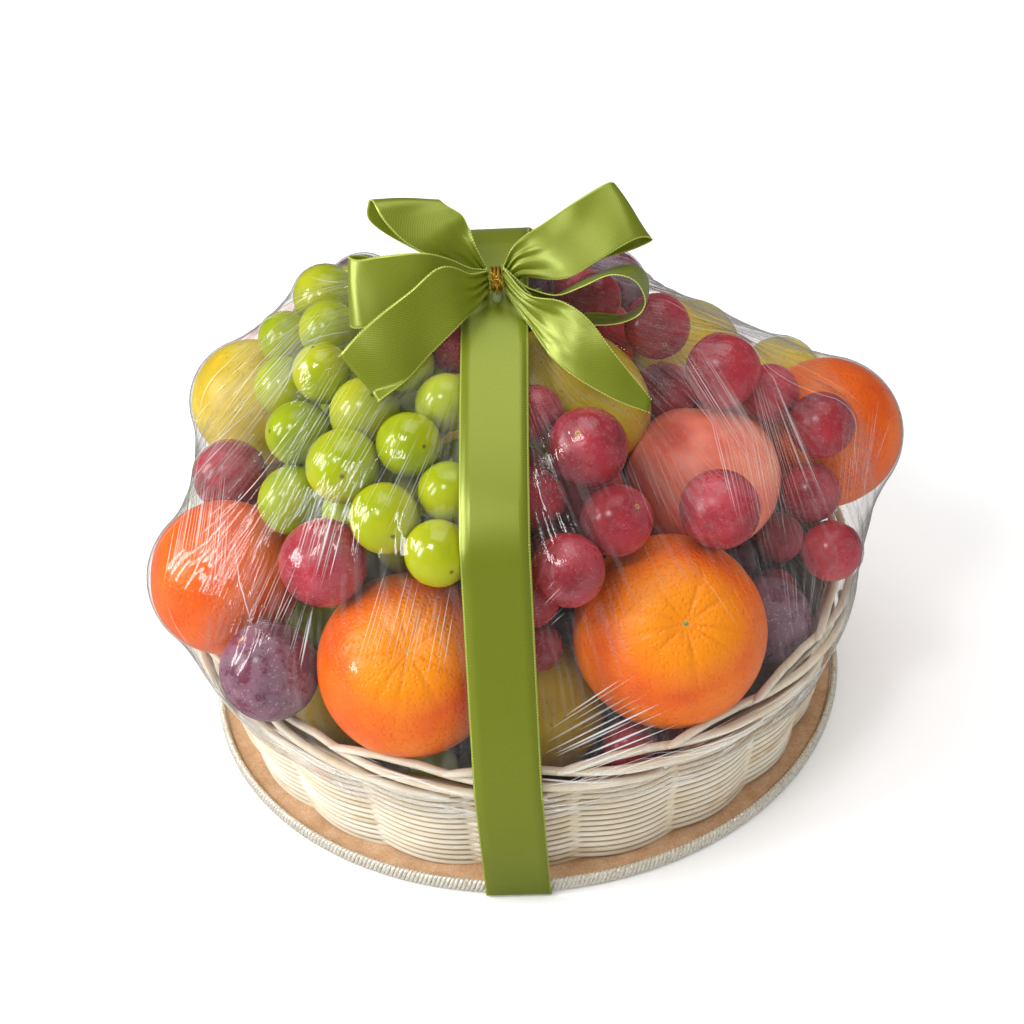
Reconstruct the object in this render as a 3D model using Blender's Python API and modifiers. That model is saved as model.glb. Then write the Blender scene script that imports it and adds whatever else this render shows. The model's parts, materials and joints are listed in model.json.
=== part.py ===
# Fruit gift basket: a low round reed basket on a thin round board, heaped with fruit,
# wrapped in clear film and tied with one satin ribbon and a bow.
# Metres, +Z up. The origin is the middle of the underside, on the surface it stands on.

from math import atan2, cos, pi, radians, sin, sqrt

import bmesh
import bpy
import numpy as np
from mathutils import Vector

mm = 0.001
gap = 0.3 * mm                      # air kept between pieces that touch

# Board and its braided edge
board_radius = 130.2 * mm
board_under = 1.0 * mm              # the ribbon runs in this space below the board
board_top = 4.0 * mm
trim_outer = 133.5 * mm
trim_height = 7.0 * mm
round_steps = 72

# Basket wall, woven from round reed around upright stakes
stakes = 20
bulge_turn = radians(-3)            # azimuth of the middle of one bulge
bulge_depth = 3.0 * mm              # how far the wall dips in between bulges
steps_per_bulge = 4
wall_low = board_top + gap
wall_high = 53.0 * mm
wall_foot = 124.3 * mm              # outer radius at the foot, on the bulges
wall_top = 133.2 * mm
wall_thick = 7.0 * mm
reed_bands = 8                      # each band stands for two rows of reed
reed_relief = 0.8 * mm
basket_floor = 5.0 * mm

# Border of reed ends laid over each other round the rim
border_radius = 134.0 * mm
border_height = 60.6 * mm
border_half_width = 4.4 * mm
border_half_height = 6.6 * mm
border_sides = 6

# Clear film over the heap
film_centre = Vector((0, 0, 85 * mm))
film_edge = 40.0 * mm               # height of the film's lower edge, on the wall
film_lip = 1.2 * mm
film_clear = 0.4 * mm
film_columns = 76
film_over_fruit = 0.5 * mm

# Ribbon
ribbon_width = 25.0 * mm
ribbon_thick = 0.5 * mm
ribbon_turn = radians(4.3)          # the band leans this far from the front-to-back line
ribbon_under = 0.5 * mm
ribbon_clear = 0.8 * mm
ribbon_fold = 1.5 * mm              # the band turns under the board over this length
outline_step = 2.0 * mm
trim_notch = 2.0 * mm               # height of the trim's notch over the band

# Knot of the bow: ribbon layers stacked along knot_across, pinched along knot_side
knot = Vector((0, -10, 200)) * mm
knot_side = Vector((0, -0.35, -0.94)).normalized()
knot_across = Vector((0, -0.94, 0.35)).normalized()
knot_layer = 2.2 * mm
knot_reach = 3.2 * mm               # where the ribbons start, to each side of the tie
knot_pinch = 8.0 * mm
tie_size = Vector((2.4, 5.8, 4.4)) * mm    # half sizes: between the ribbons, across, along
bow_over_film = 1.2 * mm            # the least air under the bow's ribbons
bow_over_band = 1.4 * mm

# Fruit: x, y, z of the middle and the diameter, all in millimetres
mandarins = [(58, -94, 83, 73), (-46, -94, 88, 69), (-113, -46, 95, 60), (126, 6, 107, 62),
             (-82, 92, 78, 62), (36, 106, 82, 68), (98, 70, 70, 60)]
apples = [(74, -31, 116, 60), (-24, 80, 124, 58), (-8, 6, 98, 60)]
yellow_fruit = [(-102, 46, 117, 53), (27, -12, 146, 54), (78, 46, 117, 46), (4, -82, 51, 52),
                (-80, -62, 42, 44), (-26, 120, 76, 52)]
red_grapes = [(-112, -2, 114, 30), (-69, -81, 126, 33), (27, -66, 158, 30), (35, -81, 139, 27),
              (18, -99, 131, 27), (12, -49, 163, 22), (9, -74, 146, 23), (73, -76, 129, 30),
              (83, -20, 156, 29), (61, 5, 164, 26), (120, -29, 135, 26), (121, -51, 92, 24),
              (38, 10, 176, 20), (-19, -21, 178, 21), (104, -10, 137, 24), (117, -31, 108, 24)]
plums = [(3, 20, 178, 42), (-93, -83, 86, 38), (98, -60, 64, 35), (44, 90, 122, 34),
         (-62, 104, 118, 34), (20, 66, 150, 40), (110, 46, 98, 34)]
green_grapes = [(-68, 55, 158, 27), (-88, 39, 147, 23), (-67, 19, 165, 24), (-86, 6, 149, 24),
                (-66, -19, 168, 23), (-79, -30, 151, 25), (-52, -33, 164, 27), (-59, -61, 156, 28),
                (-35, -61, 163, 24), (-25, -45, 169, 22), (-83, -47, 133, 26), (-46, -81, 147, 26),
                (-25, -75, 154, 23), (-30, -96, 142, 24), (-63, -59, 132, 21), (-37, -31, 174, 21),
                (-46, 56, 158, 26), (-52, 76, 142, 24), (-74, 68, 138, 25), (-38, 34, 172, 24)]


def new_material(name, colour, roughness, metallic=0.0):
    material = bpy.data.materials.new(name)
    material.use_nodes = True
    shader = material.node_tree.nodes["Principled BSDF"]
    shader.inputs["Base Color"].default_value = (*colour, 1)
    shader.inputs["Roughness"].default_value = roughness
    shader.inputs["Metallic"].default_value = metallic
    return material


def mesh_object(name, verts, faces, collection, material):
    mesh = bpy.data.meshes.new(name)
    mesh.from_pydata([tuple(v) for v in verts], [], faces)
    body = bmesh.new()
    body.from_mesh(mesh)
    bmesh.ops.recalc_face_normals(body, faces=body.faces)
    body.to_mesh(mesh)
    body.free()
    mesh.materials.append(material)
    mesh.shade_smooth()
    mesh.set_sharp_from_angle(angle=radians(40))
    thing = bpy.data.objects.new(name, mesh)
    collection.objects.link(thing)
    return thing


def ring_faces(rows, columns, first=0):
    faces = []
    for row in range(rows - 1):
        for column in range(columns):
            following = (column + 1) % columns
            low = first + row * columns
            high = low + columns
            faces.append((low + column, low + following, high + following, high + column))
    return faces


def polar(radius, azimuth, height):
    return (radius * cos(azimuth), radius * sin(azimuth), height)


def turned(name, profile, collection, material, steps=round_steps):
    """A profile of (radius, height) points, listed down its outer side, turned about +Z."""
    mesh = bpy.data.meshes.new(name)
    verts = [(radius, 0, height) for radius, height in profile]
    closed = profile[0][0] > 0
    edges = [(i, i + 1) for i in range(len(profile) - 1)]
    if closed:
        edges.append((len(profile) - 1, 0))
    mesh.from_pydata(verts, edges, [])
    mesh.materials.append(material)
    thing = bpy.data.objects.new(name, mesh)
    collection.objects.link(thing)
    screw = thing.modifiers.new("turn", "SCREW")
    screw.steps = steps
    screw.render_steps = steps
    screw.use_merge_vertices = True
    screw.merge_threshold = 0.00001
    return thing


# Basket wall

def wall_crest(height):
    rise = (height - wall_low) / (wall_high - wall_low)
    return wall_foot + (wall_top - wall_foot) * rise


def bulge_dip(azimuth):
    return bulge_depth * (1 - abs(cos(stakes / 2 * (azimuth - bulge_turn))))


def basket_azimuths():
    count = stakes * steps_per_bulge
    return [bulge_turn + 2 * pi * i / count for i in range(count)]


def build_basket(collection, material):
    azimuths = basket_azimuths()
    levels = 2 * reed_bands + 1
    verts = []
    for level in range(levels):
        height = wall_low + (wall_high - wall_low) * level / (levels - 1)
        groove = reed_relief if level % 2 == 0 else 0
        verts += [polar(wall_crest(height) - groove - bulge_dip(a), a, height) for a in azimuths]
    inner_heights = [wall_high, 0.5 * (wall_high + wall_low), wall_low + basket_floor]
    for height in inner_heights:
        inner = wall_crest(height) - wall_thick
        verts += [polar(inner - bulge_dip(a), a, height) for a in azimuths]
    rows = levels + len(inner_heights)
    count = len(azimuths)
    faces = ring_faces(rows, count)
    foot = len(verts)
    verts += [(0, 0, wall_low), (0, 0, wall_low + basket_floor)]
    last = (rows - 1) * count
    for i in range(count):
        j = (i + 1) % count
        faces.append((foot, j, i))
        faces.append((foot + 1, last + i, last + j))
    return mesh_object("basket", verts, faces, collection, material)


def build_border(collection, material):
    azimuths = basket_azimuths()
    verts = []
    for side in range(border_sides):
        turn = 2 * pi * side / border_sides
        for a in azimuths:
            wave = 0.88 + 0.12 * cos(stakes * a + 2 * turn)
            radius = border_radius + border_half_width * wave * cos(turn)
            verts.append(polar(radius, a, border_height + border_half_height * wave * sin(turn)))
    count = len(azimuths)
    faces = ring_faces(border_sides, count)
    last = (border_sides - 1) * count
    for i in range(count):
        j = (i + 1) % count
        faces.append((last + i, last + j, j, i))
    return mesh_object("basket_border", verts, faces, collection, material)


# Fruit heap under the film

def heap_of_fruit():
    """Every fruit as (x, y, z, radius) in metres: those laid by hand, then the ones between."""
    fruit = []
    for kind in (mandarins, apples, yellow_fruit, red_grapes, plums, green_grapes):
        fruit += [np.array((x, y, z, size / 2)) * mm for x, y, z, size in kind]
    return fruit


def settle(fruit, rounds=40):
    """Push overlapping fruit apart and keep all of it inside the basket and over the rim."""
    for _ in range(rounds):
        for i, one in enumerate(fruit):
            for other in fruit[i + 1:]:
                between = other[:3] - one[:3]
                distance = np.linalg.norm(between)
                overlap = one[3] + other[3] - distance
                if overlap > 0:
                    share = other[3] ** 2 / (one[3] ** 2 + other[3] ** 2)
                    push = between / distance * overlap * 0.5
                    one[:3] -= push * share
                    other[:3] += push * (1 - share)
            out = np.hypot(one[0], one[1])
            if one[2] < border_height:
                room = wall_crest(one[2]) - wall_thick - bulge_depth - one[3]
                if out > room:
                    one[:2] *= room / out
            else:
                over = np.array((out - border_radius, one[2] - border_height))
                need = one[3] + border_half_width + gap
                reach = np.linalg.norm(over)
                if reach < need:
                    shift = over * (need / reach - 1)
                    one[:2] *= (out + shift[0]) / out
                    one[2] += shift[1]
            one[2] = max(one[2], wall_low + basket_floor + one[3])
    return fruit


# Film: a taut skin over fruit, border and wall, as a distance from film_centre

def film_levels():
    upper = np.linspace(0, radians(96), 27)
    lowest = pi / 2 + atan2(film_centre.z - film_edge, wall_crest(film_edge))
    lower = np.linspace(radians(96), lowest, 7)[1:]
    return np.concatenate([upper, lower])


def film_directions(levels, azimuths):
    tilt, turn = np.meshgrid(levels, azimuths, indexing="ij")
    return np.stack([np.sin(tilt) * np.cos(turn), np.sin(tilt) * np.sin(turn), np.cos(tilt)], -1)


def reach_of_ball(directions, centre, radius):
    along = directions @ centre
    inside = along ** 2 - centre @ centre + radius ** 2
    return np.where(inside > 0, along + np.sqrt(np.maximum(inside, 0)), 0)


def reach_of_rim(levels):
    """Distance out to the border and the wall, by the tilt of the line from film_centre."""
    half_width = border_half_width + film_clear + film_lip
    half_height = border_half_height + film_clear + film_lip
    across = np.sin(levels) / half_width
    down = np.cos(levels) / half_height
    start_x = -border_radius / half_width
    start_z = (film_centre.z - border_height) / half_height
    a = across ** 2 + down ** 2
    b = across * start_x + down * start_z
    c = start_x ** 2 + start_z ** 2 - 1
    inside = b ** 2 - a * c
    border = np.where(inside > 0, (-b + np.sqrt(np.maximum(inside, 0))) / a, 0)
    slope = (wall_top - wall_foot) / (wall_high - wall_low)
    foot = wall_foot + film_clear + film_lip - slope * wall_low
    wall = (foot + slope * film_centre.z) / (np.sin(levels) - slope * np.cos(levels))
    wall_height = film_centre.z + wall * np.cos(levels)
    wall = np.where((levels > pi / 2) & (wall_height < wall_high), wall, 0)
    return np.maximum(border, wall)


def film_surface(fruit, levels, columns, rounds=4000):
    azimuths = np.linspace(-pi, pi, columns, endpoint=False)
    directions = film_directions(levels, azimuths)
    reach = np.full(directions.shape[:2], 60 * mm)
    for ball in fruit:
        centre = ball[:3] - np.array(film_centre)
        reach = np.maximum(reach, reach_of_ball(directions, centre, ball[3] + film_over_fruit))
    reach = np.maximum(reach, reach_of_rim(levels)[:, None])
    limit = 1 / reach
    skin = np.full(limit.shape, 1 / (120 * mm))
    skin[-1] = limit[-1]
    skin = np.minimum(skin, limit)
    tilt = levels[1:-1, None]
    above = tilt - levels[:-2, None]
    below = levels[2:, None] - tilt
    up_weight = (2 - below / np.tan(tilt)) / (above * (above + below))
    down_weight = (2 + above / np.tan(tilt)) / (below * (above + below))
    side_weight = 1 / (np.sin(tilt) * 2 * pi / columns) ** 2
    whole = up_weight + down_weight + 2 * side_weight - 2
    for _ in range(rounds):
        skin[0] = min(skin[1].mean(), limit[0].min())
        beside = np.roll(skin[1:-1], 1, 1) + np.roll(skin[1:-1], -1, 1)
        pulled = up_weight * skin[:-2] + down_weight * skin[2:] + side_weight * beside
        skin[1:-1] = np.minimum(pulled / whole, limit[1:-1])
    return azimuths, directions, 1 / skin


def build_wrapped_fruit(fruit, collection, material):
    levels = film_levels()
    azimuths, directions, reach = film_surface(fruit, levels, film_columns)
    centre = np.array(film_centre)
    outer = centre + directions * reach[..., None]
    rows = [list(map(tuple, row)) for row in outer[1:]]
    lip = wall_crest(film_edge) + film_clear
    inside = wall_thick + bulge_depth + film_clear
    wide = border_half_width + film_clear
    high = border_half_height + film_clear
    groove = [(lip, film_edge),
              (wall_crest(wall_high) + film_clear, border_height - high),
              (border_radius + 0.45 * wide, border_height - high),
              (border_radius + wide, border_height - 0.45 * high),
              (border_radius + wide, border_height + 0.45 * high),
              (border_radius + 0.45 * wide, border_height + high),
              (border_radius - 0.45 * wide, border_height + high),
              (border_radius - wide, border_height + 0.45 * high),
              (border_radius - wide, border_height - 0.45 * high),
              (wall_crest(wall_high) - inside, border_height - high),
              (wall_crest(wall_low) - inside, wall_low + basket_floor + gap)]
    for radius, height in groove:
        rows.append([polar(radius, a, height) for a in azimuths])
    verts = [vertex for row in rows for vertex in row]
    faces = ring_faces(len(rows), film_columns)
    top = len(verts)
    verts.append(tuple(outer[0][0]))
    verts.append((0, 0, wall_low + basket_floor + gap))
    last = (len(rows) - 1) * film_columns
    for i in range(film_columns):
        j = (i + 1) % film_columns
        faces.append((top, i, j))
        faces.append((top + 1, last + j, last + i))
    mesh_object("wrapped_fruit", verts, faces, collection, material)
    return azimuths, levels, reach


class Film:
    """Where the film lies, for what rests on it."""

    def __init__(self, azimuths, levels, reach):
        self.columns = len(azimuths)
        self.levels = levels
        self.reach = reach

    def distance(self, point):
        offset = Vector(point) - film_centre
        tilt = atan2(sqrt(offset.x ** 2 + offset.y ** 2), offset.z)
        row = int(np.clip(np.searchsorted(self.levels, tilt) - 1, 0, len(self.levels) - 2))
        part = (tilt - self.levels[row]) / (self.levels[row + 1] - self.levels[row])
        column = (atan2(offset.y, offset.x) + pi) / (2 * pi) * self.columns
        first = int(column) % self.columns
        following = (first + 1) % self.columns
        corners = self.reach[row:row + 2][:, [first, following]]
        along = corners[0] * (1 - part) + corners[1] * part
        return float(along[0] + (along[1] - along[0]) * (column - int(column)))

    def lifted(self, point, clear):
        offset = Vector(point) - film_centre
        lowest = self.distance(point) + clear
        if offset.length < lowest:
            offset *= lowest / offset.length
        return film_centre + offset


# Ribbon

def hull_of(points):
    """Convex outline of (along, height) points, anticlockwise."""
    ordered = sorted(set(points))

    def half(sequence):
        chain = []
        for p in sequence:
            while len(chain) > 1:
                (ax, az), (bx, bz) = chain[-2], chain[-1]
                if (bx - ax) * (p[1] - az) - (bz - az) * (p[0] - ax) > 0:
                    break
                chain.pop()
            chain.append(p)
        return chain[:-1]

    return half(ordered) + half(ordered[::-1])


def band_outline(film):
    along = Vector((sin(ribbon_turn), cos(ribbon_turn), 0))
    across = Vector((cos(ribbon_turn), -sin(ribbon_turn), 0))
    points = []
    count = 4 * film.columns
    for tilt in film.levels:
        for column in range(count):
            turn = -pi + 2 * pi * column / count
            ray = Vector((sin(tilt) * cos(turn), sin(tilt) * sin(turn), cos(tilt)))
            point = film_centre + ray * film.distance(film_centre + ray)
            if abs(point.dot(across)) < 0.58 * ribbon_width:
                outward = point + ray * ribbon_clear
                points.append((outward.dot(along), outward.z))
    corner = trim_outer + ribbon_clear
    for side in (-1, 1):
        points += [(side * corner, trim_height), (side * corner, ribbon_under + ribbon_fold)]
        points += [(side * (corner - ribbon_fold), ribbon_under)]
    outline = [Vector((s, 0, z)) for s, z in hull_of(points)]
    kept = [outline[0]]
    for point in outline[1:]:
        if (point - kept[-1]).length > outline_step:
            kept.append(point)
    return [along * p.x + Vector((0, 0, p.z)) for p in kept], across


def ribbon_solid(name, rows, closed, collection, material):
    """A flat ribbon from rows of points across it, thickened to both sides evenly."""
    width = len(rows[0])
    verts = [p for row in rows for p in row]
    faces = []
    for i in range(len(rows) if closed else len(rows) - 1):
        following = (i + 1) % len(rows)
        for j in range(width - 1):
            faces.append((i * width + j, following * width + j,
                          following * width + j + 1, i * width + j + 1))
    thing = mesh_object(name, verts, faces, collection, material)
    solid = thing.modifiers.new("thickness", "SOLIDIFY")
    solid.thickness = ribbon_thick
    solid.offset = 0
    return thing


def lifted_over_band(point, outline, clear):
    """Raise a point that would lie in the band where it crosses the top of the heap."""
    if abs(point.x) > 0.65 * ribbon_width:
        return point
    top = sorted((p.y, p.z) for p in outline if p.z > 0.5 * knot.z)
    height = float(np.interp(point.y, [y for y, _ in top], [z for _, z in top]))
    return Vector((point.x, point.y, max(point.z, height + clear)))


def build_band(outline, across, collection, material):
    middle = sum(outline, Vector()) / len(outline)
    rows = []
    for i, point in enumerate(outline):
        run = outline[(i + 1) % len(outline)] - outline[i - 1]
        outward = run.cross(across).normalized()
        if outward.dot(point - middle) < 0:
            outward = -outward
        on_the_ground = point.z < 1.5 * ribbon_under
        point = point + outward * ribbon_thick / 2
        if on_the_ground:
            point.z = ribbon_under - ribbon_thick / 2
        rows.append([point + across * ribbon_width * s for s in (-0.5, 0.5)])
    return ribbon_solid("ribbon_band", rows, True, collection, material)


def smooth_run(stations, steps):
    """Catmull-Rom through rows of numbers, with the same number of steps in each stretch."""
    data = [np.array(s, float) for s in stations]
    data = [2 * data[0] - data[1]] + data + [2 * data[-1] - data[-2]]
    run = []
    for i in range(1, len(data) - 2):
        for step in range(steps):
            t = step / steps
            p, q, r, s = data[i - 1:i + 3]
            run.append(0.5 * (2 * q + (r - p) * t + (2 * p - 5 * q + 4 * r - s) * t ** 2
                              + (3 * q - p - 3 * r + s) * t ** 3))
    run.append(data[-2])
    return run


def knot_station(side, layer):
    """Where one layer of ribbon meets the tie: side is -1 left or 1 right."""
    point = knot + knot_across * knot_layer * layer + Vector((side * knot_reach, 0, 0))
    return (*(point / mm), *knot_side, knot_pinch / mm)


def build_bow_ribbon(name, stations, film, outline, collection, material, steps=3):
    """Stations are x, y, z of the ribbon's middle, its sideways direction and width, in mm."""
    rows = []
    for values in smooth_run(stations, steps):
        point = Vector(values[:3]) * mm
        side = Vector(values[3:6]).normalized() * values[6] * mm
        row = [film.lifted(point + side * s, bow_over_film) for s in (-0.5, 0, 0.5)]
        rows.append([lifted_over_band(p, outline, bow_over_band) for p in row])
    return ribbon_solid(name, rows, False, collection, material)


def bow_runs():
    runs = {}
    runs["bow_loop_left_upper"] = [
        knot_station(-1, -1),
        (-9, -6, 206, -0.4, -0.2, -0.9, 12), (-16, -3, 213, -0.8, -0.4, -0.4, 18),
        (-22, 0, 218, -0.9, -0.35, -0.15, 24), (-28, 4, 223, -0.95, -0.2, 0, 25),
        (-31, 9, 225, -0.98, -0.1, 0.1, 25), (-33, 14, 221, -0.97, 0.1, 0.1, 25),
        (-34, 17, 213, -0.9, 0.2, -0.1, 24), (-26, 15, 207, -0.6, 0.2, -0.6, 18),
        (-13, 5, 202, -0.2, 0, -0.8, 11),
        knot_station(-1, -2)]
    runs["bow_loop_left_lower"] = [
        knot_station(-1, 1),
        (-9, -16, 202, 0, -0.45, -0.89, 12), (-16, -19, 204, 0, -0.5, -0.86, 19),
        (-27, -22, 206, -0.05, -0.47, -0.87, 25), (-42, -22, 206, -0.08, -0.5, -0.86, 25),
        (-51, -20, 204, -0.1, -0.5, -0.86, 25), (-54, -15, 203, -0.1, -0.5, -0.86, 25),
        (-49, -11, 201, -0.1, -0.5, -0.86, 24), (-37, -10, 198, 0, -0.5, -0.86, 18),
        (-21, -11, 197, 0, -0.45, -0.88, 11),
        knot_station(-1, 0)]
    runs["bow_tail_left"] = [
        knot_station(-1, 2),
        (-9, -21, 202, 0.1, -0.42, -0.9, 13), (-17, -28, 205, 0.25, -0.45, -0.86, 22),
        (-30, -34, 197, 0.15, -0.43, -0.89, 25), (-43, -40, 189, 0.45, -0.5, -0.74, 25),
        (-52, -44, 182, 0.6, -0.53, -0.6, 24)]
    runs["bow_loop_right_upper"] = [
        knot_station(1, -1),
        (9, -7, 205, 0.2, -0.45, -0.87, 12), (22, -9, 209, 0.27, -0.78, -0.56, 23),
        (35, -6, 215, 0.21, -0.75, -0.62, 25), (48, -1, 219, 0.35, -0.75, -0.55, 25),
        (53, 3, 216, 0.5, -0.65, -0.56, 25), (51, 8, 211, 0.5, -0.65, -0.56, 25),
        (43, 9, 207, 0.4, -0.65, -0.6, 23), (29, 6, 203, 0.3, -0.6, -0.7, 17),
        (14, 2, 200, 0.2, -0.5, -0.8, 11),
        knot_station(1, -2)]
    runs["bow_loop_right_lower"] = [
        knot_station(1, 0),
        (12, -13, 194, 0.05, 0.4, -0.85, 9), (22, -15, 194, 0.12, 0.75, -0.5, 17),
        (33, -18, 200, 0.15, 0.85, -0.35, 23), (44, -19, 205, 0.15, 0.85, -0.35, 24),
        (52, -20, 203, 0.15, 0.85, -0.35, 24), (55, -20, 194, 0.15, 0.85, -0.35, 24),
        (52, -20, 187, 0.15, 0.85, -0.35, 24), (44, -20, 184, 0.15, 0.85, -0.35, 23),
        (31, -19, 185, 0.15, 0.8, -0.4, 18), (17, -19, 189, 0.1, 0.5, -0.75, 9),
        knot_station(1, 1)]
    runs["bow_tail_right"] = [
        knot_station(1, 2),
        (10, -25, 196, -0.2, 0.1, -0.95, 11), (20, -34, 192, -0.38, -0.4, -0.8, 19),
        (29, -42, 187, -0.35, -0.6, -0.7, 21), (40, -51, 179, -0.2, -0.6, -0.76, 15),
        (52, -56, 169, -0.3, -0.6, -0.7, 5)]
    return runs


def build_tie(collection, material):
    mesh = bpy.data.meshes.new("bow_tie")
    ball = bmesh.new()
    bmesh.ops.create_uvsphere(ball, u_segments=12, v_segments=8, radius=1)
    sideways = knot_across.cross(knot_side)
    for vertex in ball.verts:
        x, y, z = vertex.co
        vertex.co = (knot + sideways * x * tie_size.x + knot_across * y * tie_size.y
                     + knot_side * z * tie_size.z)
    ball.to_mesh(mesh)
    ball.free()
    mesh.materials.append(material)
    mesh.shade_smooth()
    thing = bpy.data.objects.new("bow_tie", mesh)
    collection.objects.link(thing)
    return thing


# Board and its edge

def build_board(collection, material):
    edge = 0.6 * mm
    profile = [(0, board_top), (board_radius - edge, board_top), (board_radius, board_top - edge),
               (board_radius, board_under + edge), (board_radius - edge, board_under),
               (0, board_under)]
    return turned("base_board", profile, collection, material)


def build_trim(collection, cutters, material):
    inner = board_radius + gap
    middle = (inner + trim_outer) / 2
    profile = [(middle, trim_height), (trim_outer - 0.4 * mm, trim_height - 0.8 * mm),
               (trim_outer, trim_height / 2), (trim_outer - 0.3 * mm, 0), (inner, 0),
               (inner, trim_height - 1.0 * mm)]
    thing = turned("board_trim", profile, collection, material)
    for side in (-1, 1):
        place = Vector((side * sin(ribbon_turn), side * cos(ribbon_turn), 0)) * middle
        bpy.ops.mesh.primitive_cube_add(size=1, location=(place.x, place.y, 0),
                                        rotation=(0, 0, -ribbon_turn))
        cutter = bpy.context.object
        cutter.name = "trim_notch_front" if side < 0 else "trim_notch_back"
        cutter.scale = (ribbon_width + 2 * mm, 12 * mm, 2 * trim_notch)
        cutter.hide_render = True
        cutter.display_type = "WIRE"
        for owner in list(cutter.users_collection):
            owner.objects.unlink(cutter)
        cutters.objects.link(cutter)
        cut = thing.modifiers.new("notch", "BOOLEAN")
        cut.object = cutter
        cut.operation = "DIFFERENCE"
    return thing


def main():
    for thing in list(bpy.data.objects):
        bpy.data.objects.remove(thing, do_unlink=True)
    parts = bpy.data.collections.new("fruit_gift_basket")
    cutters = bpy.data.collections.new("cutters")
    for collection in (parts, cutters):
        bpy.context.scene.collection.children.link(collection)

    reed = new_material("reed", (0.78, 0.66, 0.46), 0.55)
    card = new_material("board", (0.55, 0.33, 0.18), 0.7)
    braid = new_material("braid", (0.72, 0.68, 0.58), 0.4, 0.6)
    film_look = new_material("film_and_fruit", (0.80, 0.35, 0.08), 0.25)
    satin = new_material("satin", (0.30, 0.42, 0.03), 0.4)
    gold = new_material("gold_wire", (0.75, 0.50, 0.12), 0.3, 1.0)

    build_board(parts, card)
    build_trim(parts, cutters, braid)
    build_basket(parts, reed)
    build_border(parts, reed)
    fruit = settle(heap_of_fruit())
    film = Film(*build_wrapped_fruit(fruit, parts, film_look))
    outline, across = band_outline(film)
    build_band(outline, across, parts, satin)
    for name, stations in bow_runs().items():
        build_bow_ribbon(name, stations, film, outline, parts, satin)
    build_tie(parts, gold)


main()
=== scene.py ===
# A fruit gift basket: reed basket on a thin round board, fruit under clear film, satin ribbon and bow.
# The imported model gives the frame; every piece here is made in that frame, in metres.
import json
from math import atan2, cos, pi, radians, sin, sqrt

import bmesh
import bpy
import numpy as np
from mathutils import Matrix, Vector
from mathutils.bvhtree import BVHTree

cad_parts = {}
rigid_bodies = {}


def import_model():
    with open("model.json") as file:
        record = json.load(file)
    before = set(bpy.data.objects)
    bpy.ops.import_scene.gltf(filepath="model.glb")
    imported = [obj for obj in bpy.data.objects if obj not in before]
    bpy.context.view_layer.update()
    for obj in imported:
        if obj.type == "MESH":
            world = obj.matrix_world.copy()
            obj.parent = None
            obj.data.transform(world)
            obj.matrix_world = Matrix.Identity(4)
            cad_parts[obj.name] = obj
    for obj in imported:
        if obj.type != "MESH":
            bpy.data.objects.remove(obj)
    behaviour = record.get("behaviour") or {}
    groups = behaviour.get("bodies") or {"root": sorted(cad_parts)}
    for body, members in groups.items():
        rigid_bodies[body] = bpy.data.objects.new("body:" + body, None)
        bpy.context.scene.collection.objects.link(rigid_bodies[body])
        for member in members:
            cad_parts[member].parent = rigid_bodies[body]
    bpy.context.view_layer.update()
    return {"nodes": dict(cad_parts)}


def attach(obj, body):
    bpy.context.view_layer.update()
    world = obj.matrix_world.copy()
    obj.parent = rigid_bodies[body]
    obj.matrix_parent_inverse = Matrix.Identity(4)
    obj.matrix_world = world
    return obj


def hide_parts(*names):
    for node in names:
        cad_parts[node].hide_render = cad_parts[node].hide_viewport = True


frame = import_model()
mm = 0.001
hidden = bpy.data.collections.new("shapes")  # shapes that the node trees repeat


# Small helpers

def linear(code):  # sRGB hex to the linear values that shaders read
    parts = [int(code[i:i + 2], 16) / 255 for i in (1, 3, 5)]
    return (*[p / 12.92 if p <= 0.04045 else ((p + 0.055) / 1.055) ** 2.4 for p in parts], 1)


def addNode(tree, kind, inputs=None, **settings):  # one node, its settings and what feeds it
    node = tree.nodes.new(kind)
    for name, value in settings.items():
        setattr(node, name, value)
    for key, value in (inputs or {}).items():
        if isinstance(value, bpy.types.Node):
            value = next(socket for socket in value.outputs if socket.enabled)
        if isinstance(value, bpy.types.NodeSocket):
            tree.links.new(value, node.inputs[key])
        else:
            node.inputs[key].default_value = value
    return node


def ramp(tree, value, stops):  # colours along a value, as pairs of place and sRGB hex
    node = addNode(tree, "ShaderNodeValToRGB", {0: value})
    marks = node.color_ramp.elements
    while len(marks) < len(stops):
        marks.new(0.5)
    for mark, (place, code) in zip(marks, stops):
        mark.position = place
        mark.color = linear(code)
    return node


def remap(tree, value, before=(0, 1), after=(0, 1)):
    ends = {1: before[0], 2: before[1], 3: after[0], 4: after[1]}
    return addNode(tree, "ShaderNodeMapRange", {0: value, **ends})


def mixTones(tree, share, first, second):
    return addNode(tree, "ShaderNodeMix", {0: share, 6: first, 7: second}, data_type="RGBA")


def noise(tree, place, scale, detail=2.0):
    return addNode(tree, "ShaderNodeTexNoise", {0: place, "Scale": scale, "Detail": detail})


def attribute(tree, name, part="Fac"):
    return addNode(tree, "ShaderNodeAttribute", attribute_name=name).outputs[part]


def objectPlace(tree):
    return addNode(tree, "ShaderNodeTexCoord").outputs["Object"]


def mathFor(tree):  # adds Math nodes to one tree, by operation and values
    def sums(operation, *values):
        return addNode(tree, "ShaderNodeMath", dict(enumerate(values)), operation=operation)

    return sums


def scaleAdd(tree, value, factor, more):
    return mathFor(tree)("MULTIPLY_ADD", value, factor, more)


def farFrom(tree, place, spot):
    return addNode(tree, "ShaderNodeVectorMath", {0: place, 1: spot}, operation="DISTANCE").outputs["Value"]


def startMaterial(name):
    material = bpy.data.materials.new(name)
    material.use_nodes = True
    material.node_tree.nodes.clear()
    return material, material.node_tree


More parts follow.
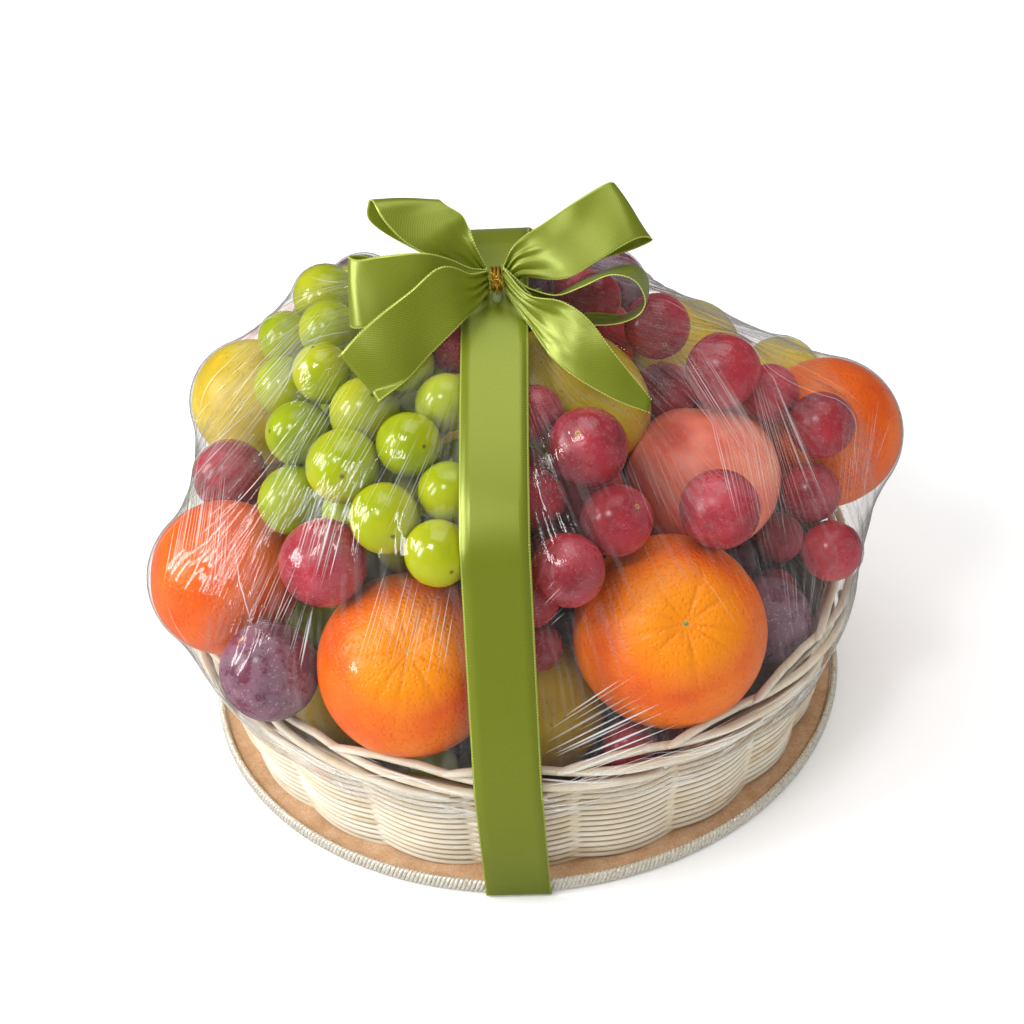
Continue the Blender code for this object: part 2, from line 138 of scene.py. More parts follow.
def endMaterial(material, shader):
    addNode(material.node_tree, "ShaderNodeOutputMaterial", {0: shader})
    return material


def startTree(name, sizes):  # a Geometry Nodes tree with named inputs
    tree = bpy.data.node_groups.new(name, "GeometryNodeTree")
    kinds = {float: "NodeSocketFloat", int: "NodeSocketInt", bpy.types.Material: "NodeSocketMaterial",
             bpy.types.Object: "NodeSocketObject"}
    tree.interface.new_socket("Geometry", in_out="INPUT", socket_type="NodeSocketGeometry")
    for label, value in sizes.items():
        tree.interface.new_socket(label, in_out="INPUT", socket_type=kinds[type(value)])
    tree.interface.new_socket("Geometry", in_out="OUTPUT", socket_type="NodeSocketGeometry")
    return tree, addNode(tree, "NodeGroupInput").outputs


def endTree(tree, shapes, given):  # real mesh, smooth, with its material
    real = addNode(tree, "GeometryNodeRealizeInstances", {0: shapes})
    smooth = addNode(tree, "GeometryNodeSetShadeSmooth", {0: real})
    dressed = addNode(tree, "GeometryNodeSetMaterial", {0: smooth, 2: given["Material"]})
    addNode(tree, "NodeGroupOutput", {0: dressed})


def tube(tree, line, radius, sides, scale=1.0, caps=False):  # a round section drawn along a line
    section = addNode(tree, "GeometryNodeCurvePrimitiveCircle", {"Resolution": sides, "Radius": radius})
    return addNode(tree, "GeometryNodeCurveToMesh", {0: line, 1: section, "Scale": scale, "Fill Caps": caps})


def keep(tree, shape, name, value):  # a vector at each point, that the material reads
    return addNode(tree, "GeometryNodeStoreNamedAttribute", {0: shape, "Name": name, "Value": value},
                   data_type="FLOAT_VECTOR", domain="POINT")


def lineMesh(name, lines):  # bare lines, for the trees that lay something along them
    verts, edges = [], []
    for line in lines:
        edges.extend((len(verts) + i, len(verts) + i + 1) for i in range(len(line) - 1))
        verts.extend(line)
    mesh = bpy.data.meshes.new(name)
    mesh.from_pydata(verts, edges, [])
    return mesh


def grow(name, tree, sizes, start=None):  # runs a tree on a mesh and keeps the plain mesh it makes
    start = start or bpy.data.meshes.new(name)
    seed = bpy.data.objects.new(name + "Seed", start)
    bpy.context.scene.collection.objects.link(seed)
    nodes = seed.modifiers.new("grow", "NODES")
    nodes.node_group = tree
    for item in tree.interface.items_tree:
        if item.in_out == "INPUT" and item.name in sizes:
            nodes[item.identifier] = sizes[item.name]
    bpy.context.view_layer.update()
    made = bpy.data.meshes.new_from_object(seed.evaluated_get(bpy.context.evaluated_depsgraph_get()))
    seed.modifiers.remove(nodes)
    bpy.data.objects.remove(seed)
    made.name = name
    piece = bpy.data.objects.new(name, made)
    bpy.context.scene.collection.objects.link(piece)
    return piece


def meshPiece(name, verts, faces, material, collection=None):
    mesh = bpy.data.meshes.new(name)
    mesh.from_pydata(np.asarray(verts, float).tolist(), [], faces)
    mesh.validate()
    mesh.shade_smooth()
    if material:
        mesh.materials.append(material)
    piece = bpy.data.objects.new(name, mesh)
    (collection or bpy.context.scene.collection).objects.link(piece)
    return piece


def giveNumbers(mesh, name, kind, values, domain="POINT"):  # an attribute that a material or tree reads
    layer = mesh.attributes.new(name, kind, domain)
    field = "vector" if kind == "FLOAT_VECTOR" else "value"
    layer.data.foreach_set(field, np.asarray(values, np.float32).ravel())


def ridesOn(piece, slot, *nodes):
    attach(piece, "root")
    if nodes:
        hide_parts(*nodes)


def ringFaces(rows, columns, first=0):
    faces = []
    for row in range(rows - 1):
        for column in range(columns):
            following = (column + 1) % columns
            low, high = first + row * columns, first + (row + 1) * columns
            faces.append((low + column, low + following, high + following, high + column))
    return faces


# Basket: round reed, paired round twenty stakes, and a border of reed ends laid over each other

basket = dict(stakes=20, rows=14, low=4.3 * mm, high=53.0 * mm, foot=124.3 * mm, top=133.2 * mm,
              thick=7.0 * mm, floor=5.0 * mm,  # the wall and floor that the fruit lies in
              bulgeTurn=radians(-3), bulgeDepth=3.0 * mm,  # the wall's bulges between the stakes
              reed=1.58 * mm, wave=2.6 * mm, twist=1.0 * mm,  # weavers: radius, in and out, up and down
              unevenHeight=1.2 * mm, unevenDepth=0.9 * mm, unevenThick=0.25, sides=7, stepsPerStake=14,
              seed=4.0)
border = dict(radius=134.0 * mm, height=60.6 * mm, halfWidth=4.4 * mm, halfHeight=6.6 * mm,
              reed=1.65 * mm, first=radians(-70), sweep=radians(55), steps=56, sides=10,
              wobble=0.035, lean=0.12, seed=3,  # each strand lies a little differently
              tip=0.45, tipRise=22.0,  # the cut end is rounded
              path=((0, 134.2, 64.6), (0.08, 132.6, 65.5), (0.16, 131.4, 65.5), (0.28, 131.2, 64.4),
                    (0.38, 132.6, 62.4), (0.52, 135.2, 61.2), (0.70, 136.6, 59.2), (0.86, 136.2, 56.2),
                    (1.0, 133.6, 52.0)))  # share of the strand, radius and height in millimetres


def wallCrest(height):
    rise = (height - basket["low"]) / (basket["high"] - basket["low"])
    return basket["foot"] + (basket["top"] - basket["foot"]) * rise


def rattan(name, gapShade):  # peeled cane: pale, dull, fine lengthwise grain, with painted shade between the reeds
    material, tree = startMaterial(name)
    along = attribute(tree, "grain", "Vector")
    facing = addNode(tree, "ShaderNodeNewGeometry").outputs["Normal"]
    steep = mathFor(tree)("ABSOLUTE", addNode(tree, "ShaderNodeSeparateXYZ", {0: facing}).outputs[2])
    stretch = addNode(tree, "ShaderNodeMapping", {0: along, "Scale": (0.12, 3, 3)})
    fibre = noise(tree, stretch, 1.0, 4.0)
    slow = addNode(tree, "ShaderNodeMapping", {0: along, "Scale": (0.02, 0.1, 1)})
    patch = noise(tree, slow, 1.0, 2.0)
    blend = scaleAdd(tree, fibre, 0.45, -0.2)
    tone = mathFor(tree)("ADD", blend, patch)
    colour = ramp(tree, tone, [(0.28, "#CDB691"), (0.44, "#E1D3B8"), (0.60, "#E8DECA"), (0.8, "#EEE8DA")])
    # painted shade: faces that look up or down, into the gaps between rows, turn dark brown
    paintedGapShade = remap(tree, steep, (0.55, 0.95), (0, gapShade))
    final = mixTones(tree, paintedGapShade, colour, linear("#7E5832"))
    bump = addNode(tree, "ShaderNodeBump", {"Height": fibre, "Distance": 0.15 * mm, "Strength": 0.6})
    skin = addNode(tree, "ShaderNodeBsdfPrincipled",
                   {"Base Color": final, "Roughness": 0.55, "Normal": bump, "Specular IOR Level": 0.35})
    return endMaterial(material, skin)


def weaveTree(material):
    sizes = {"Rows": 1, "Stakes": 1, "Steps": 1, "Low": 1.0, "High": 1.0, "Foot": 1.0, "Top": 1.0,
             "Reed": 1.0, "Depth": 1.0, "Twist": 1.0, "Turn": 1.0, "Seed": 1.0, "Material": material}
    tree, given = startTree("weave", sizes)
    sums = mathFor(tree)
    ring = addNode(tree, "GeometryNodeCurvePrimitiveCircle",
                   {"Resolution": given["Steps"], "Radius": given["Top"]})
    weavers = sums("MULTIPLY", given["Rows"], 2.0)  # two to a row, one before and one behind each stake
    copies = addNode(tree, "GeometryNodeDuplicateElements", {0: ring, "Amount": weavers}, domain="SPLINE")
    number = copies.outputs["Duplicate Index"]
    row = sums("FLOOR", sums("DIVIDE", number, 2.0))
    side = sums("SUBTRACT", 1.0, sums("MULTIPLY", sums("MODULO", number, 2.0), 2.0))
    place = addNode(tree, "GeometryNodeSplineParameter")
    turn = sums("MULTIPLY", sums("DIVIDE", place.outputs["Index"], given["Steps"]), 2 * pi)
    phase = sums("MULTIPLY", sums("SUBTRACT", turn, given["Turn"]), sums("DIVIDE", given["Stakes"], 2.0))
    seedPlace = addNode(tree, "ShaderNodeCombineXYZ",
                        {0: sums("MULTIPLY", sums("COSINE", turn), 3.0),
                         1: sums("MULTIPLY", sums("SINE", turn), 3.0),
                         2: sums("ADD", sums("MULTIPLY", number, 7.3), given["Seed"])})
    uneven = sums("SUBTRACT", noise(tree, seedPlace, 1.4, 1.0), 0.5)
    inOut = sums("MULTIPLY", sums("COSINE", phase), side)
    upDown = sums("MULTIPLY", sums("SINE", phase), side)
    pitch = sums("DIVIDE", sums("SUBTRACT", given["High"], given["Low"]), given["Rows"])
    level = sums("ADD", given["Low"], sums("MULTIPLY", sums("ADD", row, 0.5), pitch))
    height = sums("ADD", sums("SUBTRACT", level, sums("MULTIPLY", upDown, given["Twist"])),
                  sums("MULTIPLY", uneven, basket["unevenHeight"]))
    wall = sums("SUBTRACT", given["High"], given["Low"])
    rise = sums("DIVIDE", sums("SUBTRACT", height, given["Low"]), wall)
    crest = sums("ADD", given["Foot"], sums("MULTIPLY", sums("SUBTRACT", given["Top"], given["Foot"]), rise))
    middle = sums("SUBTRACT", sums("SUBTRACT", crest, given["Reed"]), given["Depth"])
    radius = sums("ADD", sums("ADD", middle, sums("MULTIPLY", inOut, given["Depth"])),
                  sums("MULTIPLY", uneven, basket["unevenDepth"]))
    spot = addNode(tree, "ShaderNodeCombineXYZ", {0: sums("MULTIPLY", radius, sums("COSINE", turn)),
                                                  1: sums("MULTIPLY", radius, sums("SINE", turn)), 2: height})
    laid = addNode(tree, "GeometryNodeSetPosition", {0: copies, "Position": spot})
    length = sums("MULTIPLY", turn, 130.0)  # in millimetres, nearly
    grain = addNode(tree, "ShaderNodeCombineXYZ", {0: length, 1: sums("MULTIPLY", number, 5.0), 2: number})
    thickness = sums("ADD", 1.0, sums("MULTIPLY", uneven, basket["unevenThick"]))
    reeds = tube(tree, keep(tree, laid, "grain", grain), given["Reed"], basket["sides"], thickness)
    endTree(tree, reeds, given)
    return tree


def weaveWall(material):
    piece = grow("wovenWall", weaveTree(material), {
        "Rows": basket["rows"], "Stakes": basket["stakes"],
        "Steps": basket["stakes"] * basket["stepsPerStake"],
        "Low": basket["low"], "High": basket["high"], "Foot": basket["foot"], "Top": basket["top"],
        "Reed": basket["reed"], "Depth": basket["wave"], "Twist": basket["twist"],
        "Turn": basket["bulgeTurn"], "Seed": basket["seed"], "Material": material})
    ridesOn(piece, "reed", "basket")


def borderPath(share):  # radius and height of one reed end from its cut tip (0) to the wall (1), mm
    shares, radii, heights = zip(*border["path"])
    return np.interp(share, shares, radii), np.interp(share, shares, heights)


def borderTree(material):
    tree, given = startTree("border", {"Reed": 1.0, "Count": 1, "Material": material})
    sums = mathFor(tree)
    run = addNode(tree, "GeometryNodeMeshToCurve", {0: given["Geometry"]})
    length = addNode(tree, "GeometryNodeSplineParameter").outputs["Length"]
    grain = addNode(tree, "ShaderNodeCombineXYZ", {0: sums("MULTIPLY", length, 1000.0), 1: 2.0, 2: 3.0})
    share = addNode(tree, "GeometryNodeSplineParameter").outputs["Factor"]
    tip = sums("MINIMUM", 1.0, sums("ADD", border["tip"], sums("MULTIPLY", share, border["tipRise"])))
    strand = tube(tree, keep(tree, run, "grain", grain), given["Reed"], border["sides"], tip, True)
    points = addNode(tree, "GeometryNodeMeshLine", {"Count": given["Count"], "Offset": (0.0, 0.0, 0.0)})
    number = addNode(tree, "GeometryNodeInputIndex")
    step = sums("MULTIPLY", sums("DIVIDE", number, given["Count"]), 2 * pi)
    wobble = addNode(tree, "FunctionNodeRandomValue",
                     {2: -border["wobble"], 3: border["wobble"], "ID": number, "Seed": border["seed"]})
    angles = addNode(tree, "ShaderNodeCombineXYZ", {0: sums("MULTIPLY", wobble, border["lean"]),
                                                    2: sums("ADD", step, wobble)})
    spun = addNode(tree, "FunctionNodeEulerToRotation", {0: angles})
    ring = addNode(tree, "GeometryNodeInstanceOnPoints", {0: points, "Instance": strand, "Rotation": spun})
    endTree(tree, ring, given)
    return tree


def layBorder(material):
    strand = []
    for i in range(border["steps"]):
        share = i / (border["steps"] - 1)
        turn = border["first"] + border["sweep"] * share
        radius, height = borderPath(share)
        strand.append((radius * mm * cos(turn), radius * mm * sin(turn), height * mm))
    piece = grow("reedBorder", borderTree(material),
                 {"Reed": border["reed"], "Count": basket["stakes"], "Material": material},
                 lineMesh("reedEnd", [strand]))
    ridesOn(piece, "reed", "basket_border")


# Board with its braided edge

board = dict(radius=130.2 * mm, outer=133.5 * mm, braidHeight=7.0 * mm, braidOut=1.7 * mm, plies=3,
             ply=0.85 * mm, lay=5.2 * mm, wide=0.62 * mm, high=2.4 * mm, steps=1400, sides=6)


def kraftBoard():  # brown card: matt, cloudy and finely speckled
    material, tree = startMaterial("kraftCard")
    place = objectPlace(tree)
    cloud = noise(tree, place, 160.0, 5.0)
    speck = noise(tree, place, 1400.0, 2.0)
    sums = mathFor(tree)
    tone = sums("ADD", cloud, speck)
    half = sums("MULTIPLY", tone, 0.5)
    colour = ramp(tree, half, [(0.36, "#C2966E"), (0.5, "#D2A982"), (0.64, "#DFBC98")])
    bump = addNode(tree, "ShaderNodeBump", {"Height": tone, "Distance": 0.1 * mm, "Strength": 0.4})
    card = addNode(tree, "ShaderNodeBsdfPrincipled", {"Base Color": colour, "Roughness": 0.8, "Normal": bump})
    return endMaterial(material, card)


def tinselYarn():  # silver and pale gold thread wound on a core: small bright glints
    material, tree = startMaterial("tinselYarn")
    place = objectPlace(tree)
    glint = addNode(tree, "ShaderNodeTexVoronoi", {"Vector": place, "Scale": 1500.0})
    colour = ramp(tree, glint.outputs["Color"], [(0.0, "#C9B896"), (0.35, "#E9E2D0"), (1.0, "#FCFAF4")])
    bump = addNode(tree, "ShaderNodeBump", {"Height": glint.outputs["Distance"], "Distance": 0.2 * mm})
    yarn = addNode(tree, "ShaderNodeBsdfPrincipled",
                   {"Base Color": colour, "Roughness": 0.3, "Metallic": 0.35, "Normal": bump})
    return endMaterial(material, yarn)


def braidTree(material):
    sizes = {"Radius": 1.0, "Level": 1.0, "Steps": 1, "Plies": 1, "Ply": 1.0, "Wide": 1.0, "High": 1.0,
             "Turns": 1.0, "Material": material}
    tree, given = startTree("braid", sizes)
    sums = mathFor(tree)
    ring = addNode(tree, "GeometryNodeCurvePrimitiveCircle",
                   {"Resolution": given["Steps"], "Radius": given["Radius"]})
    copies = addNode(tree, "GeometryNodeDuplicateElements", {0: ring, "Amount": given["Plies"]},
                     domain="SPLINE")
    number = copies.outputs["Duplicate Index"]
    place = addNode(tree, "GeometryNodeSplineParameter")
    turn = sums("MULTIPLY", sums("DIVIDE", place.outputs["Index"], given["Steps"]), 2 * pi)
    start = sums("MULTIPLY", sums("DIVIDE", number, given["Plies"]), 2 * pi)
    phase = sums("ADD", sums("MULTIPLY", turn, given["Turns"]), start)
    radius = sums("ADD", given["Radius"], sums("MULTIPLY", sums("COSINE", phase), given["Wide"]))
    height = sums("ADD", given["Level"], sums("MULTIPLY", sums("SINE", phase), given["High"]))
    spot = addNode(tree, "ShaderNodeCombineXYZ", {0: sums("MULTIPLY", radius, sums("COSINE", turn)),
                                                  1: sums("MULTIPLY", radius, sums("SINE", turn)), 2: height})
    laid = addNode(tree, "GeometryNodeSetPosition", {0: copies, "Position": spot})
    endTree(tree, tube(tree, laid, given["Ply"], board["sides"]), given)
    return tree


def layBraid(material):
    radius = board["radius"] + board["braidOut"]
    piece = grow("braidEdge", braidTree(material), {
        "Radius": radius, "Level": board["braidHeight"] / 2, "Steps": board["steps"],
        "Plies": board["plies"], "Ply": board["ply"], "Wide": board["wide"], "High": board["high"],
        "Turns": float(round(2 * pi * radius / board["lay"])), "Material": material})
    ridesOn(piece, "braid", "board_trim")


# Fruit: x, y, z of the middle and the diameter, all in millimetres

mandarins = [(58, -94, 83, 73), (-46, -94, 88, 69), (-113, -46, 95, 60), (126, 6, 107, 62),
             (-82, 92, 78, 62), (36, 106, 82, 68), (98, 70, 70, 60)]
apples = [(74, -31, 116, 60), (-24, 80, 124, 58)]
yellowFruit = [(-102, 46, 117, 53), (27, -12, 146, 54), (78, 46, 117, 46), (4, -82, 51, 52),
               (-80, -62, 42, 44), (-26, 120, 76, 52), (110, 46, 98, 34), (-8, 6, 98, 60)]
redGrapes = [(-112, -2, 114, 30), (-69, -81, 126, 33), (27, -66, 158, 30), (35, -81, 139, 27),
             (18, -99, 131, 27), (12, -49, 163, 22), (9, -74, 146, 23), (73, -76, 129, 30),
             (83, -20, 156, 29), (61, 5, 164, 26), (120, -29, 135, 26), (121, -51, 92, 24),
             (38, 10, 176, 20), (-19, -21, 178, 21), (104, -10, 137, 24), (117, -31, 108, 24)]
plums = [(3, 20, 178, 42), (-93, -83, 86, 38), (98, -60, 64, 35), (44, 90, 122, 34),
         (-62, 104, 118, 34), (20, 66, 150, 40)]
greenGrapes = [(-68, 55, 158, 27), (-88, 39, 147, 23), (-67, 19, 165, 24), (-86, 6, 149, 24),
               (-66, -19, 168, 23), (-79, -30, 151, 25), (-52, -33, 164, 27), (-59, -61, 156, 28),
               (-35, -61, 163, 24), (-25, -45, 169, 22), (-83, -47, 133, 26), (-46, -81, 147, 26),
               (-25, -75, 154, 23), (-30, -96, 142, 24), (-63, -59, 132, 21), (-37, -31, 174, 21),
               (-46, 56, 158, 26), (-52, 76, 142, 24), (-74, 68, 138, 25), (-38, 34, 172, 24)]
fruitLists = dict(mandarins=mandarins, apples=apples, yellowFruit=yellowFruit, redGrapes=redGrapes,
                  plums=plums, greenGrapes=greenGrapes)
# Where the stem end looks, for the fruit whose stem end shows
stemWays = dict(mandarins={0: (0.12, -0.70, 0.70), 1: (0.05, -0.63, 0.77), 3: (-0.3, 0.8, 0.5)},
                redGrapes={2: (-0.25, -0.51, 0.82), 3: (0.5, -0.3, 0.6)},
                apples={0: (0.2, 0.6, 0.75)}, yellowFruit={1: (-0.75, 0.25, 0.6), 0: (-0.3, -0.2, 0.9)},
                plums={1: (-0.5, 0.1, 0.85)},
                greenGrapes={i: (-60 - x, -20 - y, 140 - z)  # towards the bunch's stem
                             for i, (x, y, z, _) in enumerate(greenGrapes[:16])})
heap = dict(settleRounds=40, rimGap=0.3 * mm, out=0.14, low=0.01, high=0.18, middle=0.09, seed=11,
            frontTo=0.03, frontDepth=16 * mm,  # deeper at the front, where the real gaps show
            plainTo=0.02, plumLeft=-0.01, plumLow=0.09,  # no large filler in the dark gaps at the front
            greenTo=-0.004,  # green grapes left of the ribbon, red ones right of it
            closer=0.98, uneven=0.06, lumps=0.8 * mm, lumpScale=35.0,
            kinds=(("mandarins", 29, 1500, 6), ("apples", 26, 1500, 4), ("plums", 17, 4000, 22),
                   ("grapes", 12.5, 9000, 70), ("grapes", 10, 9000, 60)))  # radius in mm, tries, most


def settle(fruit):  # pushes overlapping fruit apart, inside the basket and over its rim
    for _ in range(heap["settleRounds"]):
        for i, one in enumerate(fruit):
            for other in fruit[i + 1:]:
                between = other[:3] - one[:3]
                distance = np.linalg.norm(between)
                overlap = one[3] + other[3] - distance
                if overlap > 0:
                    share = other[3] ** 2 / (one[3] ** 2 + other[3] ** 2)
                    push = between / distance * overlap * 0.5
                    one[:3] -= push * share
                    other[:3] += push * (1 - share)
            out = np.hypot(one[0], one[1])
            if one[2] < border["height"]:
                room = wallCrest(one[2]) - basket["thick"] - basket["bulgeDepth"] - one[3]
                if out > room:
                    one[:2] *= room / out
            else:
                over = np.array((out - border["radius"], one[2] - border["height"]))
                need = one[3] + border["halfWidth"] + heap["rimGap"]
                reach = np.linalg.norm(over)
                if reach < need:
                    shift = over * (need / reach - 1)
                    one[:2] *= (out + shift[0]) / out
                    one[2] += shift[1]
            one[2] = max(one[2], basket["low"] + basket["floor"] + one[3])


def fillers(laid, directions, reach, draw):  # smaller fruit behind and between the listed, under the film
    balls = list(laid)
    middle = np.array(film["centre"])
    found = []
    for kind, size, tries, most in heap["kinds"]:
        kept = 0
        for _ in range(tries):
            radius = size * mm * draw.uniform(1 - heap["uneven"], 1 + heap["uneven"])
            turn, out = draw.uniform(0, 2 * pi), heap["out"] * sqrt(draw.uniform())
            spot = np.array((out * cos(turn), out * sin(turn), draw.uniform(heap["low"], heap["high"])))
            wallRoom = wallCrest(spot[2]) - basket["thick"] - basket["bulgeDepth"] - radius
            rimGap = np.hypot(out - border["radius"], spot[2] - border["height"]) - border["halfHeight"]
            if spot[2] < basket["low"] + basket["floor"] + radius or rimGap < radius:
                continue
            if spot[2] < border["height"] and out > wallRoom:
                continue
            others = np.array(balls)
            if (np.linalg.norm(others[:, :3] - spot, axis=1) < others[:, 3] + heap["closer"] * radius).any():
                continue
            under = film["overFruit"] if spot[1] > heap["frontTo"] else heap["frontDepth"]
            if (reachOfBall(directions, spot - middle, radius + under) > reach).any():
                continue
            large = kind in ("mandarins", "apples")
            darkPlum = kind == "plums" and spot[0] < heap["plumLeft"] and spot[2] > heap["plumLow"]
            if spot[1] < heap["plainTo"] and (large or darkPlum):
                continue
            grape = "greenGrapes" if spot[0] < heap["greenTo"] else "redGrapes"
            balls.append(np.array((*spot, radius)))
            found.append((grape if kind == "grapes" else kind, balls[-1]))
            kept += 1
            if kept == most:
                break
    return found


# Film: a taut skin over fruit, border and wall, as a distance from its centre

film = dict(centre=Vector((0, 0, 85 * mm)), edge=40.0 * mm, lip=1.2 * mm, clear=0.4 * mm, overFruit=0.5 * mm,
            inner=60 * mm, start=120 * mm, rounds=4000, fineRounds=500,  # for drawing the skin taut
            rows=27, steep=radians(96), skirtRows=7, columns=76, fineColumns=456, fineRows=4,
            touching=0.5 * mm, free=9 * mm,  # how far off the fruit it counts as lying free
            # the white share along the streak lines given below is a painted highlight
            haze=0.014, milkyAndGlint=0.6, ior=1.42, pull=(130, 130, 9),
            pleats=(31, 47, 64, 89, 113), pleat=0.9 * mm, seed=7,
            underBand=14.5 * mm, bandEdge=(13.5 * mm, 20 * mm), belowBand=0.5 * mm,
            skirt=radians(101), waves=((5, 1, 2.2 * mm), (13, 0, 1.4 * mm)),  # its wavy lower edge
            crinkleFrom=66 * mm, crinkleFull=56 * mm)


def filmLevels():
    upper = np.linspace(0, film["steep"], film["rows"])
    lowest = pi / 2 + atan2(film["centre"].z - film["edge"], wallCrest(film["edge"]))
    return np.concatenate([upper, np.linspace(film["steep"], lowest, film["skirtRows"])[1:]])


def filmDirections(levels, azimuths):
    tilt, turn = np.meshgrid(levels, azimuths, indexing="ij")
    return np.stack([np.sin(tilt) * np.cos(turn), np.sin(tilt) * np.sin(turn), np.cos(tilt)], -1)


def reachOfBall(directions, centre, radius):
    along = directions @ centre
    inside = along ** 2 - centre @ centre + radius ** 2
    return np.where(inside > 0, along + np.sqrt(np.maximum(inside, 0)), 0)


def reachOfRim(levels):  # distance out to the border and the wall
    halfWidth = border["halfWidth"] + film["clear"] + film["lip"]
    halfHeight = border["halfHeight"] + film["clear"] + film["lip"]
    across, down = np.sin(levels) / halfWidth, np.cos(levels) / halfHeight
    startX, startZ = -border["radius"] / halfWidth, (film["centre"].z - border["height"]) / halfHeight
    a, b, c = across ** 2 + down ** 2, across * startX + down * startZ, startX ** 2 + startZ ** 2 - 1
    inside = b ** 2 - a * c
    rim = np.where(inside > 0, (-b + np.sqrt(np.maximum(inside, 0))) / a, 0)
    slope = (basket["top"] - basket["foot"]) / (basket["high"] - basket["low"])
    foot = basket["foot"] + film["clear"] + film["lip"] - slope * basket["low"]
    wall = (foot + slope * film["centre"].z) / (np.sin(levels) - slope * np.cos(levels))
    height = film["centre"].z + wall * np.cos(levels)
    return np.maximum(rim, np.where((levels > pi / 2) & (height < basket["high"]), wall, 0))


def obstacleReach(fruit, levels, directions):
    reach = np.full(directions.shape[:2], film["inner"])
    for ball in fruit:
        centre = ball[:3] - np.array(film["centre"])
        reach = np.maximum(reach, reachOfBall(directions, centre, ball[3] + film["overFruit"]))
    return np.maximum(reach, reachOfRim(levels)[:, None])


def relax(skin, limit, levels, columns, rounds):  # pulls the skin taut against what it covers
    tilt = levels[1:-1, None]
    above, below = tilt - levels[:-2, None], levels[2:, None] - tilt
    up = (2 - below / np.tan(tilt)) / (above * (above + below))
    down = (2 + above / np.tan(tilt)) / (below * (above + below))
    side = 1 / (np.sin(tilt) * 2 * pi / columns) ** 2
    whole = up + down + 2 * side - 2
    for _ in range(rounds):
        skin[0] = min(skin[1].mean(), limit[0].min())
        beside = np.roll(skin[1:-1], 1, 1) + np.roll(skin[1:-1], -1, 1)
        skin[1:-1] = np.minimum((up * skin[:-2] + down * skin[2:] + side * beside) / whole, limit[1:-1])
    return skin


def filmSurface(fruit, levels):  # the coarse skin, which the solids share
    columns = film["columns"]
    directions = filmDirections(levels, np.linspace(-pi, pi, columns, endpoint=False))
    limit = 1 / obstacleReach(fruit, levels, directions)
    skin = np.full(limit.shape, 1 / film["start"])
    skin[-1] = limit[-1]
    return directions, 1 / relax(np.minimum(skin, limit), limit, levels, columns, film["rounds"])


class Film:  # where the film lies, for what rests on it
    def __init__(self, levels, reach):
        self.levels, self.reach, self.columns = levels, reach, reach.shape[1]

    def distance(self, point):
        offset = Vector(point) - film["centre"]
        tilt = atan2(sqrt(offset.x ** 2 + offset.y ** 2), offset.z)
        row = int(np.clip(np.searchsorted(self.levels, tilt) - 1, 0, len(self.levels) - 2))
        part = (tilt - self.levels[row]) / (self.levels[row + 1] - self.levels[row])
        column = (atan2(offset.y, offset.x) + pi) / (2 * pi) * self.columns
        first = int(column) % self.columns
        corners = self.reach[row:row + 2][:, [first, (first + 1) % self.columns]]
        along = corners[0] * (1 - part) + corners[1] * part
        return float(along[0] + (along[1] - along[0]) * (column - int(column)))

    def lifted(self, point, clear):
        offset = Vector(point) - film["centre"]
        lowest = self.distance(point) + clear
        if offset.length < lowest:
            offset *= lowest / offset.length
        return film["centre"] + offset


